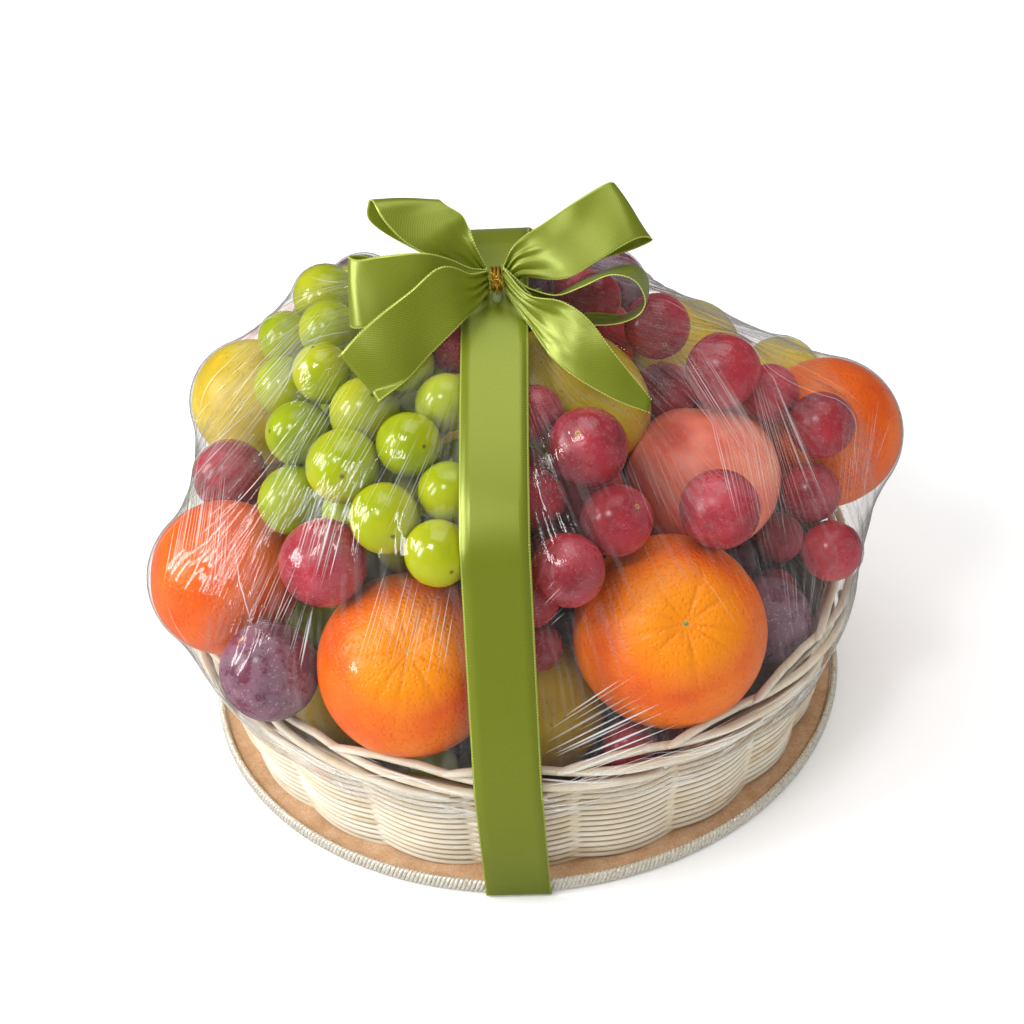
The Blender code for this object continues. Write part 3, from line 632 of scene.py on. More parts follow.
def clearFilm():  # thin clear wrap: see-through and glossy, finely creased, a little milky where it lies free, and whiter along its streak lines and crinkle ridges, a painted highlight standing in for their glints
    material, tree = startMaterial("clearWrap")
    pull = attribute(tree, "pull", "Vector")
    haze = attribute(tree, "haze")
    crinkle = attribute(tree, "crinkle")
    streak = noise(tree, pull, 0.4, 1.0)
    place = objectPlace(tree)
    ripple = noise(tree, place, 100.0, 2.0)
    mixed = addNode(tree, "ShaderNodeMix", {0: crinkle, 2: streak, 3: ripple}, data_type="FLOAT")
    height = scaleAdd(tree, ripple, 0.45, mixed)
    slack = attribute(tree, "slack")
    rough = remap(tree, slack, after=(0.3, 0.8))  # taut and smooth where it lies on fruit
    bump = addNode(tree, "ShaderNodeBump", {"Height": height, "Distance": 1.3 * mm, "Strength": rough})
    lines = remap(tree, streak, (0.48, 0.62), (0.015, 0.08))
    stretched = mathFor(tree)("MULTIPLY", lines, slack)
    edge = addNode(tree, "ShaderNodeLayerWeight", {"Blend": 0.5}).outputs["Facing"]
    edgeDark = remap(tree, edge, (0.72, 1.0), (0, 0.5))
    darker = addNode(tree, "ShaderNodeMath", {0: stretched, 1: edgeDark}, operation="ADD", use_clamp=True)
    tint = mixTones(tree, darker, linear("#FDFDFD"), linear("#000000"))
    # milky haze where the film lies free, plus painted highlight: white along the streak lines
    milkyAndGlint = scaleAdd(tree, stretched, film["milkyAndGlint"], haze)
    # painted highlight: the ripple's ridges turn white in the crinkled lower band
    ridge = remap(tree, ripple, (0.58, 0.72), (0, 0.5))
    hazeAndPaintedGlint = addNode(tree, "ShaderNodeMath", {0: ridge, 1: crinkle, 2: milkyAndGlint}, operation="MULTIPLY_ADD",
                    use_clamp=True)
    inside = addNode(tree, "ShaderNodeNewGeometry").outputs["Backfacing"]
    bend = remap(tree, inside, after=(film["ior"], 1 / film["ior"]))  # the same from both sides
    glassy = addNode(tree, "ShaderNodeFresnel", {"IOR": bend, "Normal": bump})
    clear = addNode(tree, "ShaderNodeBsdfTransparent", {0: tint})
    shine = addNode(tree, "ShaderNodeBsdfGlossy", {"Color": (1, 1, 1, 1), "Roughness": 0.07, "Normal": bump})
    wrap = addNode(tree, "ShaderNodeMixShader", {0: glassy, 1: clear, 2: shine})
    hazeAndGlintWhite = addNode(tree, "ShaderNodeBsdfDiffuse", {"Color": linear("#E9EBEA"), "Normal": bump})
    seen = addNode(tree, "ShaderNodeMixShader", {0: hazeAndPaintedGlint, 1: wrap, 2: hazeAndGlintWhite})
    path = addNode(tree, "ShaderNodeLightPath").outputs
    unseen = mathFor(tree)("MAXIMUM", path["Is Shadow Ray"], path["Is Diffuse Ray"])
    lit = addNode(tree, "ShaderNodeBsdfTransparent", {0: (0.98, 0.98, 0.98, 1)})  # light falls through unbent
    return endMaterial(material, addNode(tree, "ShaderNodeMixShader", {0: unseen, 1: seen, 2: lit}))


def smoothStep(low, high, value):
    part = np.clip((value - low) / (high - low), 0, 1)
    return part * part * (3 - 2 * part)


def upsample(grid, rowsTo, columnsTo):  # linear, periodic along columns
    rows = np.linspace(0, grid.shape[0] - 1, rowsTo)
    columns = np.arange(columnsTo) * grid.shape[1] / columnsTo
    lowRow = np.minimum(rows.astype(int), grid.shape[0] - 2)
    partRow = (rows - lowRow)[:, None]
    lowColumn = columns.astype(int)
    partColumn = (columns - lowColumn)[None, :]
    nextColumn = (lowColumn + 1) % grid.shape[1]
    low, high = grid[lowRow], grid[lowRow + 1]
    near = low[:, lowColumn] * (1 - partRow) + high[:, lowColumn] * partRow
    far = low[:, nextColumn] * (1 - partRow) + high[:, nextColumn] * partRow
    return near * (1 - partColumn) + far * partColumn


def wrapFilm(fruit, levels, reach, bandPlane, material):
    fineLevels = np.interp(np.linspace(0, len(levels) - 1, (len(levels) - 1) * film["fineRows"] + 1),
                           np.arange(len(levels)), levels)
    columns = film["fineColumns"]
    azimuths = np.linspace(-pi, pi, columns, endpoint=False)
    directions = filmDirections(fineLevels, azimuths)
    obstacle = obstacleReach(fruit, fineLevels, directions)
    limit = 1 / obstacle
    skin = np.minimum(1 / upsample(reach, len(fineLevels), columns), limit)
    skin[-1] = limit[-1]
    fine = 1 / relax(skin, limit, fineLevels, columns, film["fineRounds"])
    free = smoothStep(film["touching"], film["free"], fine - obstacle)
    tilt, turn = np.meshgrid(fineLevels, azimuths, indexing="ij")
    cloud = np.sin(3 * turn + 4 * tilt) * np.sin(7 * tilt - 2 * turn)
    haze = film["haze"] * free * (0.6 + 0.4 * cloud)
    draw = np.random.default_rng(film["seed"])
    warp = turn + 0.10 * np.sin(2 * tilt + 1.3 * np.sin(3 * turn))
    pleats = np.zeros(fine.shape)
    for count in film["pleats"]:
        pleats += draw.uniform(0.5, 1.0) * np.sin(count * warp + draw.uniform(0, 2 * pi))
    pleats = np.maximum(pleats, 0) / 3
    fromBand, bandReach, ownReach = bandPlane(directions * fine[..., None])
    unbound = free * smoothStep(*film["bandEdge"], fromBand)
    fine = fine + pleats * unbound * film["pleat"] * smoothStep(0.03, 0.2, tilt)
    pressed = np.minimum(fine, fine * (bandReach - film["belowBand"]) / ownReach)
    fine = np.where(fromBand < film["underBand"], pressed, fine)
    outer = directions * fine[..., None] + np.array(film["centre"])
    skirt = smoothStep(film["skirt"], fineLevels[-1], tilt)
    for count, start, high in film["waves"]:
        outer[..., 2] += skirt * high * np.sin(count * azimuths + start)
    crinkle = smoothStep(film["crinkleFrom"], film["crinkleFull"], outer[..., 2])
    pull = np.stack([np.cos(warp), np.sin(warp), tilt], -1) * film["pull"]
    verts = np.concatenate([outer[1:].reshape(-1, 3), outer[0][:1]])
    rows = len(fineLevels) - 1
    faces = [face[::-1] for face in ringFaces(rows, columns)]
    faces += [(len(verts) - 1, i, (i + 1) % columns) for i in range(columns)]
    piece = meshPiece("clearFilm", verts, faces, material)
    for name, kind, grid in (("haze", "FLOAT", haze), ("slack", "FLOAT", free),
                             ("crinkle", "FLOAT", crinkle), ("pull", "FLOAT_VECTOR", pull)):
        values = np.concatenate([grid[1:].reshape(rows * columns, -1), grid[0][:1].reshape(1, -1)])
        giveNumbers(piece.data, name, kind, values)
    ridesOn(piece, "wrapped_fruit", "wrapped_fruit")
    return piece


# Creases of the film, pulled straight between two places, as narrow raised strips

# Bundles seen from the front: first and last line at their start, first and last line at their end (pixels of
# the 1024-pixel photograph), then how many lines and how strong
bundles = dict(
    ribbonFan=((541, 728), (541, 800), (634, 664), (712, 742), 15, 1.45),
    ribbonFanShort=((541, 590), (541, 640), (560, 568), (575, 610), 5, 0.6),
    ribbonFanLow=((545, 790), (570, 800), (600, 762), (660, 760), 5, 0.7),
    rightShoulder=((640, 262), (655, 300), (790, 345), (812, 362), 14, 0.7),
    rightFall=((652, 330), (700, 335), (740, 470), (800, 500), 22, 0.75),
    rightPeel=((704, 395), (765, 400), (741, 545), (790, 560), 20, 0.85),
    rightFan=((745, 365), (768, 360), (790, 560), (838, 520), 18, 0.75),
    rightSide=((845, 390), (878, 410), (835, 520), (862, 515), 13, 0.7),
    rightEdge=((870, 375), (893, 420), (858, 520), (872, 470), 7, 0.6),
    rightFoot=((775, 540), (835, 560), (790, 640), (815, 625), 10, 0.6),
    mandarinRight=((690, 560), (765, 545), (745, 640), (775, 610), 8, 0.35),
    redGrapes=((600, 430), (660, 420), (640, 545), (720, 560), 8, 0.3),
    leftShoulder=((345, 275), (352, 300), (196, 430), (222, 470), 14, 0.8),
    leftGrapes=((352, 320), (400, 400), (262, 475), (330, 520), 18, 0.6),
    leftGrapesLow=((420, 380), (450, 430), (330, 540), (400, 560), 10, 0.4),
    leftPlum=((320, 470), (350, 500), (286, 580), (322, 610), 11, 0.9),
    leftMandarin=((196, 440), (236, 470), (166, 590), (226, 610), 22, 1.0),
    leftLower=((275, 540), (300, 560), (235, 620), (262, 660), 9, 0.8),
    frontMandarin=((388, 556), (462, 570), (350, 680), (440, 700), 20, 0.7),
    frontPlum=((300, 570), (318, 590), (262, 640), (300, 690), 8, 0.7),
    leftEdge=((176, 480), (192, 500), (158, 580), (170, 610), 9, 0.8))
ringCreases = dict(count=230, low=radians(96), high=radians(108.4), short=0.12, long=0.7)
backCreases = dict(count=110, near=radians(28), far=radians(86), front=radians(55), steps=16)
thread = dict(seed=5, steps=18, jump=14 * mm, above=0.15 * mm, ridge=0.12 * mm, side=0.15, narrowest=0.08,
              thickShare=0.12)  # one crease: points along it, lift off the film, how faint its sides are


def creaseFilm():  # folded on itself the film looks like fine white threads; their white is partly a painted highlight for the glint along each crease
    material, tree = startMaterial("creasedWrap")
    strength = attribute(tree, "strength")
    clear = addNode(tree, "ShaderNodeBsdfTransparent")
    # painted highlight: a lit white strip along the crease, besides the folded film's own whiteness
    fold = addNode(tree, "ShaderNodeBsdfPrincipled", {"Base Color": linear("#F4F6F6"), "Roughness": 0.25})
    crease = addNode(tree, "ShaderNodeMixShader", {0: strength, 1: clear, 2: fold})
    return endMaterial(material, crease)


def eyeRay(place):  # from the camera through a pixel of the photograph
    camera = bpy.context.scene.camera.matrix_world
    middle = studio["photoPixels"] / 2
    way = camera.to_3x3() @ Vector((place[0] - middle, middle - place[1], -studio["focalPixels"]))
    return camera.translation, way.normalized()


def creaseFilmLines(filmPiece, material):
    draw = np.random.default_rng(thread["seed"])
    surface = BVHTree.FromObject(filmPiece, bpy.context.evaluated_depsgraph_get())
    verts, faces, strengths = [], [], []

    def strip(hits, width, strength):  # one tapering line through points with their outward directions
        if len(hits) < 4:
            return
        first = len(verts)
        for i, (point, outward) in enumerate(hits):
            ahead = hits[min(i + 1, len(hits) - 1)][0] - hits[max(i - 1, 0)][0]
            taper = max(0, sin(pi * i / (len(hits) - 1))) ** 0.6
            side = ahead.cross(outward).normalized() * width * max(taper, thread["narrowest"]) / 2
            base = point + outward * thread["above"]
            verts.extend([base - side, base + outward * thread["ridge"], base + side])
            strengths.extend(strength * taper * share for share in (thread["side"], 1, thread["side"]))
        for i in range(len(hits) - 1):
            row = first + 3 * i
            faces.append((row, row + 1, row + 4, row + 3))
            faces.append((row + 1, row + 2, row + 5, row + 4))

    def outward(point, normal):
        return normal if normal.dot(point - film["centre"]) > 0 else -normal

    for startLow, startHigh, endLow, endHigh, count, strong in bundles.values():
        for i in range(count):
            share = (i + draw.uniform(0.1, 0.9)) / count
            begin = Vector(startLow).lerp(Vector(startHigh), share)
            end = Vector(endLow).lerp(Vector(endHigh), share)
            begin, end = begin.lerp(end, draw.uniform(0, 0.3)), end.lerp(begin, draw.uniform(0, 0.3))
            hits = []
            for step in range(thread["steps"] + 1):
                origin, way = eyeRay(begin.lerp(end, step / thread["steps"]))
                place, normal, _, _ = surface.ray_cast(origin, way)
                if place is None or hits and (place - hits[-1][0]).length > thread["jump"]:
                    break
                hits.append((place, outward(place, normal)))
            isThick = draw.uniform() < thread["thickShare"] * strong ** 5
            thick = draw.uniform(0.7, 1.2) if isThick else draw.uniform(0.22, 0.5)
            strip(hits, thick * mm, min(1, strong * draw.uniform(0.25, 0.9)))

    def along(tilts, turns, width, strength):  # a line over the film by tilt and turn from its centre
        hits = []
        for tilt, turn in zip(tilts, turns):
            way = Vector((sin(tilt) * cos(turn), sin(tilt) * sin(turn), cos(tilt)))
            place, normal, _, _ = surface.ray_cast(film["centre"], way)
            if place is None:
                break
            hits.append((place, outward(place, normal)))
        strip(hits, width, strength)

    for _ in range(ringCreases["count"]):
        start, tilt = draw.uniform(0, 2 * pi), draw.uniform(ringCreases["low"], ringCreases["high"])
        span = draw.uniform(ringCreases["short"], ringCreases["long"])
        steps = np.linspace(0, 1, 5 + int(span * 30))
        wave = radians(1.2) * np.sin(steps * span * 9 + start)
        drift = radians(draw.uniform(-3, 3)) * (steps - 0.5)
        along(tilt + wave + drift, start + span * steps, draw.uniform(0.4, 1.3) * mm, draw.uniform(0.3, 1.0))
    for _ in range(backCreases["count"]):
        turn = draw.uniform(-pi, pi)
        if abs(turn + pi / 2) < backCreases["front"]:
            continue
        start = draw.uniform(backCreases["near"], backCreases["far"])
        tilts = np.linspace(start, start + draw.uniform(0.15, 0.6), backCreases["steps"])
        turns = turn + draw.uniform(-0.25, 0.25) * np.linspace(0, 1, backCreases["steps"])
        along(tilts, turns, draw.uniform(0.3, 0.7) * mm, draw.uniform(0.3, 0.9))
    piece = meshPiece("filmCreases", verts, faces, material)
    giveNumbers(piece.data, "strength", "FLOAT", strengths)
    ridesOn(piece, "wrapped_fruit", "wrapped_fruit")


# Fruit shapes: distance from the axis and along it, by tilt from the stem end and turn round it; radius 1

def ballShape(name, rows, columns, shape):
    tilts = np.linspace(0, pi, rows + 1)[1:-1]
    turns = np.linspace(0, 2 * pi, columns, endpoint=False)
    tilt, turn = np.meshgrid(tilts, turns, indexing="ij")
    out, up = shape(tilt, turn)
    ring = np.stack([out * np.cos(turn), out * np.sin(turn), up], -1).reshape(-1, 3)
    poles = [(0, 0, shape(np.zeros(1), np.zeros(1))[1][0]), (0, 0, shape(np.full(1, pi), np.zeros(1))[1][0])]
    verts = np.concatenate([ring, poles])
    faces = [face[::-1] for face in ringFaces(rows - 1, columns)]
    last = (rows - 2) * columns
    for i in range(columns):
        following = (i + 1) % columns
        faces.append((len(ring), i, following))
        faces.append((len(ring) + 1, last + following, last + i))
    return meshPiece(name, verts, faces, None, hidden)


def mandarinShape(tilt, turn):
    wander = turn + 0.18 * np.sin(2 * turn + 1) + 0.10 * np.sin(5 * turn)
    grooves = np.exp(-(np.sin(4.5 * wander) / 0.3) ** 2 - (tilt / 0.72) ** 2)
    ribs = 0.022 * grooves * smoothStep(0.06, 0.25, tilt)
    dimple = 0.10 * np.exp(-(tilt / 0.26) ** 2) + 0.05 * np.exp(-((pi - tilt) / 0.3) ** 2)
    size = 1 - ribs - dimple
    return size * np.sin(tilt), 0.98 * size * np.cos(tilt)


def appleShape(tilt, turn):
    dimple = 0.20 * np.exp(-(tilt / 0.30) ** 2) + 0.12 * np.exp(-((pi - tilt) / 0.3) ** 2)
    lobes = 0.012 * np.cos(5 * turn) * np.sin(tilt / 2) ** 4
    size = 1 - dimple + lobes
    return size * np.sin(tilt) * (1 + 0.02 * np.cos(tilt)), size * 0.97 * np.cos(tilt)


def pearShape(tilt, turn):
    neck = 0.10 * np.exp(-(tilt / 0.7) ** 2)
    dimple = 0.06 * np.exp(-((pi - tilt) / 0.25) ** 2)
    return (1 - neck) * np.sin(tilt) * 0.97, (1.02 - dimple) * np.cos(tilt)


def redGrapeShape(tilt, turn):
    dimple = 0.08 * np.exp(-(tilt / 0.22) ** 2)
    return 0.985 * np.sin(tilt), (1.0 - dimple) * np.cos(tilt)


def greenGrapeShape(tilt, turn):
    dimple = 0.05 * np.exp(-(tilt / 0.22) ** 2)
    return 0.99 * np.sin(tilt), (1.0 - dimple) * np.cos(tilt) * 1.05


def plumShape(tilt, turn):
    cleft = 0.035 * np.exp(-(np.minimum(turn, 2 * pi - turn) / 0.16) ** 2) * np.sin(tilt)
    dimple = 0.10 * np.exp(-(tilt / 0.25) ** 2)
    size = 1 - cleft - dimple
    return size * np.sin(tilt) * 0.98, size * np.cos(tilt)


def scatterTree(material):
    sizes = {"Shape": bpy.data.objects[0], "Uneven": 1.0, "Grit": 1.0, "Material": material}
    tree, given = startTree("fruitHeap", sizes)
    shape = addNode(tree, "GeometryNodeObjectInfo", {"Object": given["Shape"]}).outputs["Geometry"]
    kept = keep(tree, shape, "own", addNode(tree, "GeometryNodeInputPosition"))
    size = addNode(tree, "GeometryNodeInputNamedAttribute", {0: "size"}, data_type="FLOAT_VECTOR")
    turn = addNode(tree, "GeometryNodeInputNamedAttribute", {0: "turn"}, data_type="FLOAT_VECTOR")
    spun = addNode(tree, "FunctionNodeEulerToRotation", {0: turn})
    laid = addNode(tree, "GeometryNodeInstanceOnPoints",
                   {0: given["Geometry"], "Instance": kept, "Rotation": spun, "Scale": size})
    real = addNode(tree, "GeometryNodeRealizeInstances", {0: laid})
    where = addNode(tree, "GeometryNodeInputPosition")
    lumps = noise(tree, where, given["Grit"], 2.0)
    sums = mathFor(tree)
    amount = sums("MULTIPLY", sums("SUBTRACT", lumps, 0.5), given["Uneven"])
    normal = addNode(tree, "GeometryNodeInputNormal")
    out = addNode(tree, "ShaderNodeVectorMath", {0: normal, "Scale": amount}, operation="SCALE")
    moved = addNode(tree, "GeometryNodeSetPosition", {0: real, "Offset": out})
    endTree(tree, moved, given)
    return tree


def eulerTowards(way, spin):
    upright = Vector(way).normalized().to_track_quat("Z", "Y").to_matrix()
    return (upright @ Matrix.Rotation(spin, 3, "Z")).to_euler()


def layFruit(name, balls, ways, shape, material, seed, stretch):
    draw = np.random.default_rng(seed)
    mesh = bpy.data.meshes.new(name)
    mesh.from_pydata([tuple(ball[:3]) for ball in balls], [], [])
    turns, sizes, tones = [], [], []
    for i, ball in enumerate(balls):
        outward = Vector(ball[:3]) - Vector((0, 0, heap["middle"]))
        free = Vector(draw.normal(size=3)) - outward.normalized() * 0.8
        turns.append(eulerTowards(ways.get(i, free), draw.uniform(0, 2 * pi)))
        sizes.append(ball[3] * np.array(stretch.get(i, (1, 1, 1))) * draw.uniform(0.995, 1.01, 3))
        tones.append(draw.uniform())
    giveNumbers(mesh, "turn", "FLOAT_VECTOR", turns)
    giveNumbers(mesh, "size", "FLOAT_VECTOR", sizes)
    giveNumbers(mesh, "tone", "FLOAT", tones)
    piece = grow(name, scatterTree(material), {"Shape": shape, "Uneven": heap["lumps"],
                                               "Grit": heap["lumpScale"], "Material": material}, mesh)
    ridesOn(piece, "wrapped_fruit", "wrapped_fruit")
    return turns


calyx = dict(chosen=(0, 3, 5, 6), lobes=5, lobe=0.26, lobedFrom=2, columns=40, seat=0.862, cup=0.0168,
             profile=((0, 0.9), (0.8, 0.8), (1.1, 0.25), (1.7, 0.35), (2.7, 0.3), (3.7, -0.4)))  # out, up; mm


def layCalyxes(balls, turns, material):  # the green five-lobed button left on a mandarin's stem end
    verts, faces = [], []
    for i in calyx["chosen"]:
        turn = turns[i].to_matrix()
        foot = Vector(balls[i][:3]) + turn @ Vector((0, 0, calyx["seat"] * balls[i][3]))
        faces += ringFaces(len(calyx["profile"]), calyx["columns"], len(verts))
        for out, height in calyx["profile"]:
            for j in range(calyx["columns"]):
                angle = 2 * pi * j / calyx["columns"]
                lobe = 1 + (calyx["lobe"] * cos(calyx["lobes"] * angle) if out > calyx["lobedFrom"] else 0)
                reach = out * lobe
                rise = height + calyx["cup"] * reach ** 2
                verts.append(foot + turn @ Vector((reach * cos(angle), reach * sin(angle), rise)) * mm)
    piece = meshPiece("mandarinCalyx", verts, [face[::-1] for face in faces], material)
    ridesOn(piece, "wrapped_fruit", "wrapped_fruit")


def calyxGreen():  # dry pale green, browner at the middle
    material, tree = startMaterial("calyxGreen")
    place = objectPlace(tree)
    patch = noise(tree, place, 500.0, 2.0)
    colour = ramp(tree, patch, [(0.35, "#5E6A24"), (0.5, "#868E3E"), (0.65, "#B0A868")])
    leaf = addNode(tree, "ShaderNodeBsdfPrincipled", {"Base Color": colour, "Roughness": 0.7})
    return endMaterial(material, leaf)


stalks = dict(thick=0.9 * mm, sides=7, grapes=16, seat=0.93, bendAt=0.45, bend=2 * mm, stemSteps=5, steps=4,
              stem=((-56, 40, 140), (-60, 0, 142), (-58, -35, 134), (-44, -72, 124)))  # the main stem, mm


def stalkTree(material):
    tree, given = startTree("stalks", {"Thick": 1.0, "Material": material})
    runs = addNode(tree, "GeometryNodeMeshToCurve", {0: given["Geometry"]})
    endTree(tree, tube(tree, runs, given["Thick"], stalks["sides"], caps=True), given)
    return tree


def layStalks(balls, turns, material):  # thin stalks from the green grapes to the bunch's main stem
    stem = smoothPoints([Vector(point) * mm for point in stalks["stem"]], stalks["stemSteps"])
    lines = [stem]
    for ball, turn in list(zip(balls, turns))[:stalks["grapes"]]:
        top = Vector(ball[:3]) + turn.to_matrix() @ Vector((0, 0, stalks["seat"] * ball[3]))
        target = min(stem, key=lambda point: (point - top).length)
        bend = top.lerp(target, stalks["bendAt"]) + turn.to_matrix() @ Vector((0, 0, stalks["bend"]))
        lines.append(smoothPoints([top, bend, target], stalks["steps"]))
    piece = grow("grapeStalks", stalkTree(material), {"Thick": stalks["thick"], "Material": material},
                 lineMesh("stalkLines", lines))
    ridesOn(piece, "wrapped_fruit", "wrapped_fruit")


def smoothPoints(points, steps):
    return [Vector(values) for values in smoothRun(points, steps)]


def stalkBark():  # green-brown woody stalk
    material, tree = startMaterial("grapeStalk")
    place = objectPlace(tree)
    patch = noise(tree, place, 200.0)
    colour = ramp(tree, patch, [(0.35, "#6A5426"), (0.65, "#8F8A3A")])
    bark = addNode(tree, "ShaderNodeBsdfPrincipled", {"Base Color": colour, "Roughness": 0.7})
    return endMaterial(material, bark)


def zest():  # mandarin peel: waxy orange, puffy, with oil pits a millimetre apart
    material, tree = startMaterial("mandarinPeel")
    own = attribute(tree, "own", "Vector")
    tone = attribute(tree, "tone")
    place = objectPlace(tree)
    pits = addNode(tree, "ShaderNodeTexVoronoi", {"Vector": place, "Scale": 560.0})
    puff = noise(tree, place, 190.0, 2.0)
    cloud = noise(tree, place, 45.0, 2.0)
    skin = remap(tree, pits.outputs["Distance"], (0.0, 0.5))
    height = scaleAdd(tree, puff, 0.7, skin)
    bump = addNode(tree, "ShaderNodeBump", {"Height": height, "Distance": 0.35 * mm, "Strength": 0.9})
    shade = scaleAdd(tree, tone, 0.22, cloud)
    colour = ramp(tree, shade, [(0.35, "#D84E00"), (0.6, "#E86200"), (0.85, "#F07600")])
    length = addNode(tree, "ShaderNodeVectorMath", {0: own, 1: (0, 0, 1)}, operation="DOT_PRODUCT")
    stemEnd = remap(tree, length.outputs["Value"], (0.70, 0.90), (0, 0.8))
    ripe = mixTones(tree, stemEnd, colour, linear("#F89400"))
    away = farFrom(tree, own, (0, 0, 0.86))
    navel = remap(tree, away, (0.055, 0.025))
    final = mixTones(tree, navel, ripe, linear("#C8A050"))
    peel = addNode(tree, "ShaderNodeBsdfPrincipled",
                   {"Base Color": final, "Roughness": 0.33, "Normal": bump, "Specular IOR Level": 0.3})
    return endMaterial(material, peel)


def bloomSkin(name, deep, middle, bright, bloom, bloomShare):  # thin skin, pale wax rubbed off in patches
    material, tree = startMaterial(name)
    place = objectPlace(tree)
    tone = attribute(tree, "tone")
    cloud = noise(tree, place, 55.0, 3.0)
    shade = scaleAdd(tree, tone, 0.3, cloud)
    colour = ramp(tree, shade, [(0.4, deep), (0.62, middle), (0.85, bright)])
    rub = addNode(tree, "ShaderNodeTexNoise", {0: place, "Scale": 71.5, "Detail": 6.0, "Roughness": 0.72})
    dust = addNode(tree, "ShaderNodeTexVoronoi", {"Vector": place, "Scale": 750.0})
    grains = remap(tree, dust.outputs["Distance"], (0.24, 0.14))
    patch = remap(tree, rub, (0.44, 0.56), (0.12, bloomShare))
    thin = scaleAdd(tree, grains, 1.7, 0.62)
    cover = addNode(tree, "ShaderNodeMath", {0: thin, 1: patch}, operation="MULTIPLY", use_clamp=True)
    final = mixTones(tree, cover, colour, linear(bloom))
    rough = remap(tree, patch, (0.1, 0.4), (0.2, 0.4))
    own = attribute(tree, "own", "Vector")
    away = farFrom(tree, own, (0, 0, 0.93))
    scar = ramp(tree, away, [(0.03, "#8A6238"), (0.05, "#C8A070"), (0.07, "#B47848"), (0.10, "#8A2A22")])
    near = remap(tree, away, (0.11, 0.07))
    marked = mixTones(tree, near, final, scar)
    skin = addNode(tree, "ShaderNodeBsdfPrincipled",
                   {"Base Color": marked, "Roughness": rough, "Specular IOR Level": 0.45})
    return endMaterial(material, skin)


def greenGrapeSkin():  # ripe white grape: glowing yellow-green flesh, paler veins, a tiny brown blossom scar
    material, tree = startMaterial("whiteGrapeSkin")
    place = objectPlace(tree)
    own = attribute(tree, "own", "Vector")
    tone = attribute(tree, "tone")
    cloud = noise(tree, place, 60.0, 3.0)
    shade = scaleAdd(tree, tone, 0.35, cloud)
    colour = ramp(tree, shade, [(0.4, "#86980A"), (0.65, "#9DAA08"), (0.9, "#B0B41A")])
    away = farFrom(tree, own, (0, 0, -1.05))
    scar = remap(tree, away, (0.085, 0.045), (0, 0.8))
    final = mixTones(tree, scar, colour, linear("#5A4A20"))
    skin = addNode(tree, "ShaderNodeBsdfPrincipled",
                   {"Base Color": final, "Roughness": 0.17, "Subsurface Weight": 0.35,
                    "Subsurface Radius": (1.0, 0.9, 0.06), "Subsurface Scale": 5 * mm})
    return endMaterial(material, skin)


def freckledSkin(name, low, middle, high, freckle, share):  # smooth firm skin with small darker freckles
    material, tree = startMaterial(name)
    place = objectPlace(tree)
    cloud = noise(tree, place, 40.0, 3.0)
    colour = ramp(tree, cloud, [(0.35, low), (0.52, middle), (0.7, high)])
    speck = addNode(tree, "ShaderNodeTexVoronoi", {"Vector": place, "Scale": 330.0})
    dots = remap(tree, speck.outputs["Distance"], (0.26, 0.1), (0, share))
    final = mixTones(tree, dots, colour, linear(freckle))
    skin = addNode(tree, "ShaderNodeBsdfPrincipled",
                   {"Base Color": final, "Roughness": 0.38, "Specular IOR Level": 0.4})
    return endMaterial(material, skin)


# Ribbon: one band all round, six bow ribbons from the knot, and a gold wire tie. bowRuns gives the middle line
# of each bow ribbon: place in millimetres, the way across the ribbon, and how wide it lies there

ribbon = dict(width=25.0 * mm, thick=0.4 * mm, turn=radians(4.3), under=0.5 * mm, clear=0.8 * mm,
              fold=1.5 * mm, outlineStep=2.0 * mm, lift=0.25 * mm, bandPoints=7, bowPoints=29, bowSteps=8,
              overFilm=1.2 * mm, overBand=1.4 * mm, slant=25.0 * mm, sewnFrom=3 * mm, sewnIn=0.12,
              pleat=1.1 * mm, pleats=(3.5, 5.5), pleatRun=3.2, billow=0.9 * mm, billowTurn=0.27)
knot = dict(place=Vector((0, -10, 200)) * mm, side=Vector((0, -0.35, -0.94)).normalized(),
            across=Vector((0, -0.94, 0.35)).normalized(), layer=2.2 * mm, reach=3.2 * mm, pinch=8.0)


def satin():  # woven satin: dark olive with broad bright sheen, fine dotted twill, pale selvedge
    material, tree = startMaterial("satinRibbon")
    flat = addNode(tree, "ShaderNodeUVMap", uv_map="ribbon")
    parts = addNode(tree, "ShaderNodeSeparateXYZ", {0: flat})
    other = addNode(tree, "ShaderNodeMapping", {0: flat, "Scale": (-1, 1.6, 1)})
    rising = addNode(tree, "ShaderNodeTexWave", {0: flat, "Scale": 0.62}, bands_direction="DIAGONAL")
    falling = addNode(tree, "ShaderNodeTexWave", {0: other, "Scale": 0.62}, bands_direction="DIAGONAL")
    dots = mathFor(tree)("MULTIPLY", rising.outputs["Fac"], falling.outputs["Fac"])
    thread = noise(tree, flat, 1.4, 2.0)
    height = scaleAdd(tree, thread, 0.5, dots)
    bump = addNode(tree, "ShaderNodeBump", {"Height": height, "Distance": 0.05 * mm, "Strength": 0.5})
    colour = ramp(tree, height, [(0.2, "#7A8612"), (0.5, "#88941E"), (0.95, "#96A22C")])
    edge = mathFor(tree)("ABSOLUTE", parts.outputs[0])
    rim = remap(tree, edge, (11.9, 12.1))
    final = mixTones(tree, rim, colour, linear("#B4C04A"))
    along = addNode(tree, "ShaderNodeTangent", direction_type="UV_MAP", uv_map="ribbon")
    cloth = addNode(tree, "ShaderNodeBsdfPrincipled",
                    {"Base Color": final, "Roughness": 0.28, "Normal": bump, "Metallic": 0.4, "IOR": 1.75,
                     "Anisotropic": 0.4, "Tangent": along})
    return endMaterial(material, cloth)


